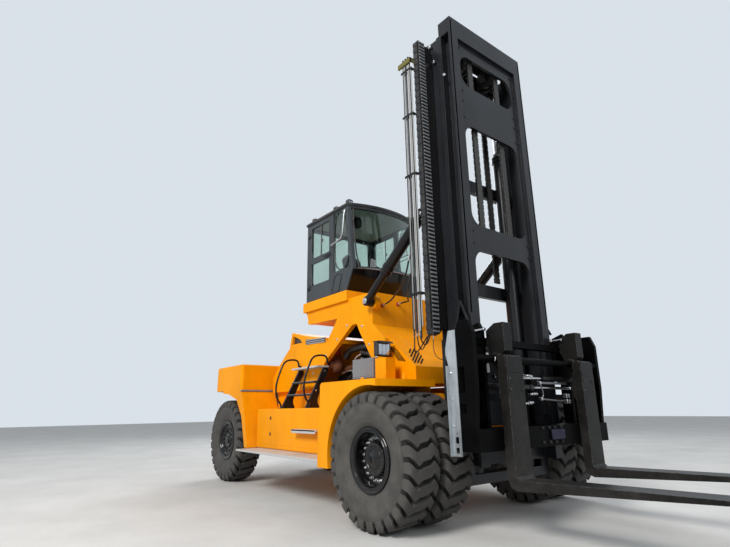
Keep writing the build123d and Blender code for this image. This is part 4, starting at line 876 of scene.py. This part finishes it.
keeper = [block((-1.12, .958, 3.15), (-1.04, .966, 3.175)),
    hexagons([(x, .966, 3.162) for x in (-1.1, -1.06)], Y, .009, .008)]
pair("_boss_keeper", keeper, SILVER)

# Cab

CAB_Y, CAB_REAR, SILL_Z, ROOF_LOW, CAB_TOP = .85, -3.33, 3.84, 5.06, 5.15
BOW, FRONT_CORNER, PANE_Y = .2, -1.76, .8385
BOW_R = (CAB_Y ** 2 + BOW ** 2) / (2 * BOW)


def cab_front(y, z, inset=0.0):
    """x of the bowed front: an arc in plan through the corners, which leans back above the sill and in
    below it."""
    lean = -.1298 if z >= SILL_Z else .5263
    bow = BOW - BOW_R + np.sqrt(BOW_R ** 2 - np.asarray(y, float) ** 2)
    return FRONT_CORNER - inset + lean * (z - SILL_Z) + bow


def cab_plan(z, inset):
    """Outline of the cab in plan at a height: straight rear and sides, and the bowed front."""
    y = np.linspace(-CAB_Y + inset, CAB_Y - inset, 17)
    front = np.stack([cab_front(y, z, inset), y], -1)
    return np.concatenate([[(CAB_REAR + inset, -CAB_Y + inset)], front, [(CAB_REAR + inset, CAB_Y - inset)]])


def rim_seal(points, up, w=.022, h=.012, rounds=2):
    """A moulding laid along a closed line."""
    return swept(rounded(points, True, rounds), strip(w, h, .003), up, closed=True)


def cab_line(y, sill_z, z, inset):
    """A line across the cab's front: as bowed as the front is at the first height, and laid at the
    second."""
    return np.stack([cab_front(y, sill_z, inset), y, np.full(len(y), z)], -1)


y = np.linspace(-.765, .765, 15)
low, high = (cab_line(y, z, z, .008) for z in (SILL_Z + .012, ROOF_LOW - .012))
put("screen_seal", rim_seal(np.concatenate([low, high[::-1]]), (1, 0, .13), .03, .014, 1), TRIM)
quarter = [(-2.38, 3.88), (-2.38, 5.06), (-1.99, 5.06), (-1.83, 3.88)]
seals = [rim_seal([(x, side * .84, z) for x, z in inset(quarter, .01)], Y) for side in SIDES.values()]
rear = [(CAB_REAR + .014, y, z) for y, z in loop((-.722, 3.848), (.722, 4.992), .06)]
put("fixed_glass_seals", [*seals, rim_seal(rear, X, .024, .012, 0)], TRIM)
put("quarter_glass_bars", both(block((-2.375, PANE_Y - .006, 4.455), (-1.93, PANE_Y + .006, 4.475))), TRIM)

frames = [rim_seal([(x, .842, z) for x, z in loop((-3.18, lo), (-2.52, hi), .035, 4)], Y, rounds=0)
    for lo, hi in ((4.334, 4.99), (3.77, 4.226))]
slide_bar = block((-2.835, PANE_Y - .007, 4.34), (-2.812, PANE_Y + .007, 4.985))
latch = block((-2.812, .824, 4.62), (-2.775, .848, 4.68), .006)
pair("_door_seals", [*frames, slide_bar, latch], TRIM, "_door")
lever = tube([(-2.5, .852, 4.278), (-2.5, .882, 4.278), (-2.52, .89, 4.278), (-2.66, .888, 4.272)], .011, 10)
plate_back = plate(loop((-2.7, 4.245), (-2.47, 4.312), .018, 4), .849, .856)
pair("_door_handle", [lever, plate_back], TRIM, "_door")
grab = [(-2.4, .852, 4.405), (-2.4, .905, 4.405), (-2.33, .912, 4.415), (-2.1, .912, 4.435),
    (-2.02, .912, 4.49), (-1.985, .908, 4.6), (-1.945, .906, 4.94), (-1.94, .896, 5.0),
    (-1.945, .852, 5.01)]
pair("_grab_rail", tube(grab, .013), SILVER)
lid = [(-2.262 + u + .36 * w, .852, 3.645 + w) for u, w in loop((-.12, -.165), (.12, .165), .055, 6)]
pair("_hatch_seal", swept(lid, ring(.009, 8), Y, closed=True), TRIM)
hinges = pin([(-.05, .021), (-.044, .024), (.044, .024), (.05, .021)], 16,
    [(CAB_REAR + .083, .866, z) for z in (3.75, 4.85)], Z)
pair("_hinge_sleeves", hinges, TRIM)

plan = cab_plan(CAB_TOP, -.012)
gutter = np.concatenate([plan, np.full((len(plan), 1), 5.108)], 1)
skin = [plate(cab_plan(CAB_TOP, .012 + .05 * k), CAB_TOP + .012 * k, CAB_TOP + .012 * (k + 1), .006, "xy")
    for k in range(2)]
put("roof_edge", swept(gutter, strip(.026, .05, .006), closed=True), TRIM)
put("roof_skin", skin, SLATE)
put("roof_lining_panel", plate(cab_plan(ROOF_LOW, .095), ROOF_LOW - .014, ROOF_LOW - .001, .004, "xy"),
    LINING)
put("sill_ledge", swept(cab_line(y, SILL_Z, SILL_Z - .012, -.006), strip(.026, .024, .005)), STEEL_TUBE)
y = np.linspace(-.835, .835, 21)
apron = np.stack([np.concatenate([cab_line(y, z, z, -.009), cab_line(y, z, z, .001)[::-1]])
    for z in (3.415, 3.425, 3.8, 3.81)])
put("cab_front_apron", surface(apron, wrap_v=True, caps=True), RIM_BLACK)
floor_mat = plate(cab_plan(3.4003, .1), 3.461, 3.475, .004, "xy")
put("cab_floor_mat", floor_mat, TRIM)
FAN_AT, FAN_AIM = (-2.17, -.46, 4.9), (.8, -.3, -.35)
fan = aimed(spun([(0, .02), (.006, .1), (.03, .112), (.06, .112), (.07, .104), (.07, .098), (.03, .094),
    (.02, .02)], 28), [FAN_AT], FAN_AIM)
blades = aimed(spun([(.02, 0), (.02, .03), (.05, .03), (.055, 0)], 12), [FAN_AT], FAN_AIM)
put("cab_fan", [fan, blades, tube([FAN_AT, (-2.19, -.45, 4.98), (-2.2, -.45, 5.05)], .01, 8, up=X)], TRIM)


def on_screen(y, z, inset):
    return float(cab_front(y, z, inset)), y, z


arm = [on_screen(-.18 + .55 * k, 3.86 + .62 * k, -.018) for k in (0, .35, .7, 1)]
blade = [on_screen(.37 + .02 * k, 4.25 + .5 * k, -.01) for k in (0, .33, .66, 1)]
put("screen_wiper", [tube(arm, .007, 8, up=X), tube(blade, .008, 6, up=X),
    pin([(0, .026), (.03, .022)], 16, [arm[0]], X)], TRIM)

# Driver's place: console with column and wheel, arm boxes and levers
pod = plate(rounded([(-2.2, 3.4606), (-2.26, 3.7), (-2.24, 3.826), (-2.005, 3.76), (-2.11, 3.62),
    (-2.13, 3.4606)], True, 1), -.258, .258, .012)
screen = aimed(plate(loop((-.085, -.055), (.085, .055), .012, 4), -.01, .01, .004, "xy"),
    [(-2.1, .2, 3.86)], (-.8, 0, .5))
column = tube([(-2.2, 0, 3.75), (-2.25, 0, 3.87), (-2.3, 0, 3.985)], .03, 16, up=Y)
turn = np.linspace(0, 2 * np.pi, 48, endpoint=False)
grip = np.stack([.185 * np.cos(turn), .185 * np.sin(turn), 0 * turn], -1)
wheel_parts = [swept(grip, ring(.015), closed=True), spun([(-.03, 0), (-.03, .045), (0.0, .055),
    (.018, .048), (.022, 0)], 24)]
for a in (math.pi / 2, math.pi * 7 / 6, math.pi * 11 / 6):
    wheel_parts.append(swept([(.04 * math.cos(a), .04 * math.sin(a), 0),
        (.11 * math.cos(a), .11 * math.sin(a), -.006), (.18 * math.cos(a), .18 * math.sin(a), 0)],
        strip(.03, .01)))
steering = aimed(joined(*wheel_parts), [(-2.3, 0, 4.0)], (-.38, 0, .92))
put("driver_console", [pod, screen, column, steering], TRIM, smooth=35,
    stands_for=["console"])
arms = [plate(rounded([(-2.86, 3.8), (-2.86, 4.03), (-2.5, 4.05), (-2.44, 4.02), (-2.48, 3.96),
    (-2.56, 3.8)], True, 1), .285, .365, .012)]
arms += [tube([(x, .325, 4.04), (x + .005, .325, 4.09), (x, .325, 4.12)], .009, 8, up=X)
    for x in (-2.52, -2.57, -2.62)]
put("arm_boxes", both(arms), TRIM)


def cushion(cx, cz, half_x, half_y, half_z, lean, channels):
    """A crowned pad: a superellipsoid with its sides drawn in between corners, and sewn channels pressed
    across it. Point = centre + half sizes x signed powers of cosine and sine, less a narrow dip at each
    channel's y."""
    u = np.linspace(-np.pi / 2, np.pi / 2, 33)[:, None]
    v = np.linspace(-np.pi, np.pi, 64, endpoint=False)[None, :]
    def power(a, e):
        return np.sign(a) * np.abs(a) ** e
    x, yy = power(np.cos(u), .32) * power(np.cos(v), .34), power(np.cos(u), .32) * power(np.sin(v), .34)
    zz = power(np.sin(u), .55) + 0 * v
    crown = 1 + .16 * (1 - x ** 2) * (1 - yy ** 2)
    pull = 1 - .035 * (1 - np.abs(x * yy)) * np.cos(u) ** .3
    p = np.stack([half_x * x * pull, half_y * yy * pull, half_z * zz * crown], -1)
    for c in channels:
        p[..., 2] -= .01 * np.sign(zz) * np.exp(-((p[..., 1] - c) / .01) ** 2) * (np.abs(zz) > .5)
    a = math.radians(lean)
    turned = np.stack([p[..., 0] * math.cos(a) - p[..., 2] * math.sin(a), p[..., 1],
        p[..., 0] * math.sin(a) + p[..., 2] * math.cos(a)], -1)
    return surface(turned + (cx, 0, cz), wrap_v=True)


base = cushion(-2.715, 3.862, .245, .235, .052, 0, (-.13, .13))
back = cushion(-2.915, 4.215, .262, .225, .05, 106, (-.12, .12))
rest = cushion(-3.005, 4.47, .055, .115, .035, 106, ())
for name, shape, stands_for in (("seat_base_cushion", base, ["driver_cushion"]),
        ("seat_back_cushion", back, []), ("seat_head_cushion", rest, [])):
    put(name, shape, CLOTH, smooth=60, stands_for=stands_for)

# Lamps


def lamp(low, high, facing, cells):
    """A work lamp that looks along +x or -x: a housing with a bezel and fins, a row of polished reflectors,
    and a clear cover before them."""
    (x0, y0, z0), (x1, y1, z1) = low, high
    front = x1 if facing > 0 else x0
    back_x = x0 if facing > 0 else x1
    housing = plate(loop((y0, z0), (y1, z1), .014, 4), back_x, front - facing * .022, .006, "yz")
    bezel_path = [(front - facing * .012, y, z) for y, z in loop((y0 + .006, z0 + .006),
        (y1 - .006, z1 - .006), .012, 4)]
    bezel = swept(bezel_path, strip(.02, .012, .003), X, closed=True)
    step = (y1 - y0 - .024) / cells
    optics = [plate(loop((y0 + .014 + k * step, z0 + .018), (y0 + .01 + (k + 1) * step, z1 - .018), .01, 4),
        front - facing * .02, front - facing * .012, .004, "yz") for k in range(cells)]
    cover = plate(loop((y0 + .01, z0 + .01), (y1 - .01, z1 - .01), .012, 4), front - facing * .008,
        front - facing * .003, .001, "yz")
    fins = [block((min(back_x, back_x - facing * .014), y0 + .012, z0 + .014 + f * (z1 - z0 - .03) / 4),
        (max(back_x, back_x - facing * .014), y1 - .012, z0 + .02 + f * (z1 - z0 - .03) / 4), .002)
        for f in range(5)]
    return joined(housing, bezel, *fins), joined(*optics), cover


spots = [((-.785, side * 1.07 - .122, 2.16), (-.675, side * 1.07 + .122, 2.372), 1, 3)
    for side in SIDES.values()]
spots += [((x, side * .755 - .055, CAB_TOP + .002), (x + .09, side * .755 + .055, CAB_TOP + .088), facing,
    2) for x, facing in ((-3.23, -1), (-2.45, 1), (-2.03, 1)) for side in SIDES.values()]
housings, optics, covers = (list(kind) for kind in zip(*[lamp(*spot) for spot in spots]))
visor = [(-.655, 2.368), (-.8, 2.376), (-.802, 2.386), (-.64, 2.38), (-.618, 2.352), (-.626, 2.348)]
housings.append(both([plate(visor, .94, 1.2, .0015), block((-.798, .9535, 2.23), (-.779, 1.06, 2.31), .004)]))
put("work_lamp_housings", housings, TRIM, smooth=35, stands_for=["work_lamps"])
put("work_lamp_optics", optics, CHROME)
put("work_lamp_covers", covers, LENS)

# Body: decks, hood, cowl

panels = [plate(loop((-4.05, .8), (-2.74, 1.365), .03, 4), 1.418, 1.4235),
    plate(loop((-2.66, .8), (-1.2, 1.05), .03, 4), 1.418, 1.4225)]
latches = [plate(loop((-3.6, z - .03), (-3.565, z + .03), .012, 4), 1.422, 1.434, .003)
    for z in (1.263, .982)]
latches += [hexagons([(-3.582, 1.433, z)], Y, .008, .01) for z in (1.263, .982)]
steps = [block((-2.584, 1.4205, 1.066), (-1.836, 1.5535, 1.0935), .004),
    block((-2.584, 1.546, 1.035), (-1.836, 1.5535, 1.0935))]
put("tank_panels", both(panels), YELLOW)
put("tank_latches", both(latches), TRIM)
put("tank_steps", both(steps), TREAD)
strips = block((-4.61, .9, 1.772), (-4.545, 1.605, 1.808), .006)
put("counterweight_strip", both(strips), GREY)
lip = block((-4.075, 1.845, .69), (-1.165, 1.866, .722), .004)
put("running_board_lips", both(lip), TREAD)
tabs = [plate(rounded([(x - .035, 1.765), (x - .03, 1.86), (x + .03, 1.86), (x + .035, 1.765)], True, 1),
    1.28, 1.3, .003) for x in (-.95, -.45, -.02)]
put("fender_tabs", both(tabs), YELLOW)
# Black sheets in the hood's triangular opening and behind its slats: painted shade where these openings are
# dark.
window = [(-3.705, 2.655), (-3.665, 2.84), (-3.395, 2.745), (-3.29, 2.655)]
shade = plate(window, .893, .899)
slats = [swept([(-3.14, .954, z), (-2.5, .954, z - .02)], strip(.017, .01), Y)
    for z in (2.612, 2.648, 2.684)]
slat_shade = plate([(-3.17, 2.598), (-2.47, 2.575), (-2.47, 2.668), (-3.17, 2.702)], .9478, .9508, .001)
put("hood_window_shade", both([shade, slat_shade]), TRIM)
put("hood_slats", both(slats), SILVER)
bolts = [(x, .9505, z) for x, z in ((-2.46, 2.34), (-2.1, 2.58), (-1.8, 2.785), (-1.38, 2.72), (-1.2, 2.4),
    (-1.02, 2.18), (-2.88, 2.05), (-2.88, 1.9), (-.9, 2.05))]
put("gantry_bolts", both(hexagons(bolts, Y, .017, .014)), SILVER)
COWL_HIGH, COWL_LOW = (-.62, 2.32), (-.23, 1.99)
slope = (COWL_LOW[1] - COWL_HIGH[1]) / (COWL_LOW[0] - COWL_HIGH[0])
slope_up = (.646, 0, .763)
# Louvre slots: near-black flat strips laid on the cowl's slope and side as painted shade in the slots, each
# with a yellow lip.
runs = [((-.58, .626), (-.485, .746)), ((-.587, .538), (-.406, .796)), ((-.548, .528), (-.33, .832)),
    ((-.51, .518), (-.286, .836)), ((-.455, .525), (-.29, .771)), ((-.383, .565), (-.278, .721))]
flat = [(-.012, -.002), (.012, -.002), (.012, .0012), (-.012, .0012)]
edge = [(.012, -.002), (.02, -.002), (.02, .003), (.014, .004)]
slot_shades, lips = [], []
for run in runs:
    path = [(x, y, COWL_HIGH[1] + slope * (x - COWL_HIGH[0])) for x, y in run]
    slot_shades.append(swept(path, flat, slope_up))
    lips.append(swept(path, edge, slope_up))
for k in range(5):
    path = [(-.8 + .04 * k, .868, 2.345 - .018 * k), (-.593 + .0365 * k, .868, 2.095 - .006 * k)]
    slot_shades.append(swept(path, [(-.009, -.002), (.009, -.002), (.009, .0012), (-.009, .0012)], Y))
    lips.append(swept(path, [(.009, -.002), (.016, -.002), (.016, .003), (.011, .004)], Y))
put("cowl_louvre_shade_strips", both(slot_shades), PAINTED_SHADE_BLACK)
put("cowl_louvre_lips", both(lips), YELLOW)
# A dark sheet behind the cowl's through slots: painted shade, so that they read dark.
slot_shade_outline = [(-.9, 2.515), (-.48, 2.175), (-.5, 2.15), (-.915, 2.49)]
put("cowl_shade", plate(slot_shade_outline, -.84, .84), TRIM)

# Engine bay

parts = [block((-2.838, -.428, 1.2005), (-1.252, .428, 2.02), .03),
    block((-2.7, -.36, 2.02), (-1.4, .36, 2.2), .02)]
parts += [block((-2.62 + .2 * k, -.2, 2.2), (-2.45 + .2 * k, .16, 2.32), .025) for k in range(6)]
parts += [block((-2.8 + .12 * k, side * .428 - .012, 1.3), (-2.76 + .12 * k, side * .428 + .012, 1.95),
    .006) for k in range(13) for side in SIDES.values()]
parts += [pin([(0, .2), (.02, .22), (.08, .22), (.1, .18)], 32, [(-1.252, 0, 1.62)], X)]
parts += [pin([(0, .13), (.03, .15), (.6, .15), (.63, .13)], 32, [(-2.25, .2, 2.46)], X),
    block((-2.3, -.3, 2.3), (-1.62, .4, 2.42), .02), block((-1.6, -.1, 2.2), (-1.36, .36, 2.56), .02)]
put("engine_body", parts, CAST, smooth=35, stands_for=["engine_block"])
wall = [plate([(-2.56, 2.1), (-2.36, 2.6), (-2.06, 2.93), (-2.0, 3.19), (-1.16, 3.19), (-1.16, 2.1)], -.012,
    .012, .004)]
wall += [pin([(0, .1), (.02, .12), (.52, .12), (.54, .1)], 28, [(-1.98, side * .34, 2.66)], X)
    for side in SIDES.values()]
wall += [block((-1.52, -.45, 2.4), (-1.3, .45, 2.52), .012),
    block((-2.3, -.5, 2.44), (-2.1, .5, 2.54), .012)]
wall += [block((-2.02, -.92, 2.62), (-2.0, .92, 3.19))]
put("engine_bay_wall", wall, BLACK)
log = [tube([(-2.62, -.5, 2.1), (-2.0, -.52, 2.14), (-1.5, -.5, 2.1)], .055, 16)]
log += [tube([(-2.52 + .2 * k, -.37, 2.08), (-2.52 + .2 * k, -.45, 2.13), (-2.5 + .2 * k, -.5, 2.12)], .034)
    for k in range(5)]
log += [aimed(spun([(-.1, .05), (-.09, .1), (-.05, .14), (0, .15), (.05, .14), (.08, .09), (.12, .075),
    (.16, .08), (.16, 0)], 32), [(-2.52, -.66, 2.18)], (-.3, -1, .1))]
put("exhaust_manifold", log, MANIFOLD)
air = [tube([(-2.3, -.62, 2.3), (-2.2, -.62, 2.42), (-1.95, -.55, 2.47), (-1.6, -.3, 2.46),
    (-1.4, .1, 2.42)], .062, 18), tube([(-1.45, -.55, 1.95), (-1.4, -.62, 2.15), (-1.55, -.66, 2.3),
    (-1.8, -.66, 2.35)], .03), tube([(-1.75, -.48, 1.8), (-1.85, -.6, 1.95), (-2.05, -.64, 2.02),
    (-2.25, -.6, 1.9)], .026)]
put("engine_ducts", air, HOSE)
red = aimed(spun([(0, 0), (0, .05), (.01, .056), (.15, .056), (.165, .045), (.17, 0)], 24),
    [(-2.6, -.6, 2.36)], Z)
put("filter_bowl", red, RED)
bits = [aimed(hexagon_head(.022, .03), [(-2.05 + .09 * k, -.64 + .03 * (k % 3), 2.02 + .07 * (k % 4))],
    (0, -1, .2)) for k in range(7)]
bits += [tube([(-2.3, -.7, 2.02), (-2.0, -.74, 2.06), (-1.7, -.7, 2.0)], .014, 10),
    tube([(-2.0, -.62, 2.1), (-1.95, -.7, 2.25), (-1.8, -.62, 2.34)], .012, 10)]
put("engine_fittings", bits, SILVER)
face = [hexagons([(x, -1.2305, z) for x in (-1.25, -.79) for z in (1.88, 2.11)], (0, -1, 0), .01, .008),
    plate(loop((-1.24, 1.875), (-.8, 2.115), .015, 4), -1.2298, -1.2345)]
put("control_box_face", face, GREY)

# Rails and steps

RAIL = [(1.365, 1.432), (1.365, 1.5), (1.45, 1.6), (1.475, 1.7), (1.475, 1.88), (1.36, 2.2), (1.29, 2.29),
    (1.18, 2.32), (1.06, 2.32), (1.01, 2.27), (1.01, 2.197), (.952, 2.197)]
RAILS_X = (-3.315, -2.325)
loops = [tube([(x, y, z) for y, z in RAIL], .017, 14, 3, X) for x in RAILS_X]
feet = [pin([(0, .038), (.008, .038), (.01, .02)], 20, [(x, 1.365, 1.4303)], Z) for x in RAILS_X]
put("ladder_handrails", both([*loops, *feet]), BLACK, smooth=35, stands_for=["handrails"])
rungs = [block((-3.219, y0 + .004, z + .0252), (-2.421, y1 - .004, z + .03), .001)
    for z, y0, y1 in ((1.64, 1.13, 1.29), (1.86, 1.04, 1.2))]
put("ladder_rung_grips", both(rungs), TREAD)
step_bolts = [hexagons([(x, y, z) for y, z in ((1.33, 1.5), (1.2, 1.72), (1.02, 2.06))], out, .012, .01)
    for x, out in ((-3.2605, (-1, 0, 0)), (-2.3795, X))]
put("ladder_bolts", both(step_bolts), SILVER)

# Studio

EYE = (6.2625, -5.795, 1.41)
YAW, PITCH, ROLL = (math.radians(a) for a in (142.083, 15.502, -.85))
FOCAL_PX, WIDTH_PX, SENSOR = 486.348, 730, 36.0


def sight():
    """The camera's turn from its yaw, pitch and roll: its right, its up, and the reverse of its line of
    sight."""
    ahead = np.array([math.cos(PITCH) * math.cos(YAW), math.cos(PITCH) * math.sin(YAW), math.sin(PITCH)])
    right = np.array([math.sin(YAW), -math.cos(YAW), 0.0])
    up = np.cross(right, ahead)
    return np.stack([right * math.cos(ROLL) + up * math.sin(ROLL),
        up * math.cos(ROLL) - right * math.sin(ROLL), -ahead], 1)


lens = bpy.data.cameras.new("camera")
lens.sensor_width = SENSOR
lens.lens = FOCAL_PX / WIDTH_PX * SENSOR
lens.clip_start, lens.clip_end = .1, 300
camera = bpy.data.objects.new("camera", lens)
camera.matrix_world = Matrix.Translation(EYE) @ Matrix(sight().tolist()).to_4x4()
bpy.context.scene.collection.objects.link(camera)
bpy.context.scene.camera = camera


def area(name, spot, aim, size, power, colour=(1, 1, 1)):
    lamp = bpy.data.lights.new(name, "AREA")
    lamp.shape, lamp.size, lamp.energy, lamp.color = "DISK", size, power, colour
    o = bpy.data.objects.new(name, lamp)
    o.location = spot
    o.rotation_mode = "QUATERNION"
    o.rotation_quaternion = (Vector(aim) - Vector(spot)).to_track_quat("-Z", "Y")
    o.visible_transmission = False
    bpy.context.scene.collection.objects.link(o)


area("key", (7, -18, 15), (0, 0, 2), 8, 4300, (1.0, .98, .95))
area("fill", (17, 4, 9), (0, 0, 3), 10, 800, (.95, .97, 1.0))
area("rim_light", (-13, 10, 13), (0, 0, 3), 9, 1500, (.96, .98, 1.0))

world = bpy.data.worlds.new("studio")
bpy.context.scene.world = world
world.use_nodes = True
wt = world.node_tree
sky = wt.nodes["Background"]
sky.inputs["Color"].default_value = (.86, .93, 1.0, 1)
sky.inputs["Strength"].default_value = .5
seen = add(wt, "Background", {"Color": (.7, .755, .81, 1)}).outputs[0]
rays = add(wt, "LightPath").outputs
either = times(wt, rays["Is Camera Ray"], rays["Is Glossy Ray"], "MAXIMUM")
either = times(wt, either, rays["Is Transmission Ray"], "MAXIMUM")
blend = add(wt, "MixShader", {0: either, 1: sky.outputs[0], 2: seen}).outputs[0]
wt.links.new(blend, wt.nodes["World Output"].inputs["Surface"])

ground_finish, gt, place = start("studio_floor", (.62, .61, .59), .85)
cloud = spread(gt, noise(gt, place, .7, 8, .65), .3, .7)
finished(ground_finish, mixed(gt, cloud, (.55, .54, .52), (.66, .65, .63)))
ground_mesh = bpy.data.meshes.new("floor")
ground_mesh.from_pydata([(-60, -60, 0), (60, -60, 0), (60, 60, 0), (-60, 60, 0)], [], [(0, 1, 2, 3)])
ground_mesh.materials.append(ground_finish)
ground = bpy.data.objects.new("floor", ground_mesh)
bpy.context.scene.collection.objects.link(ground)

bpy.context.scene.view_settings.view_transform = "Standard"
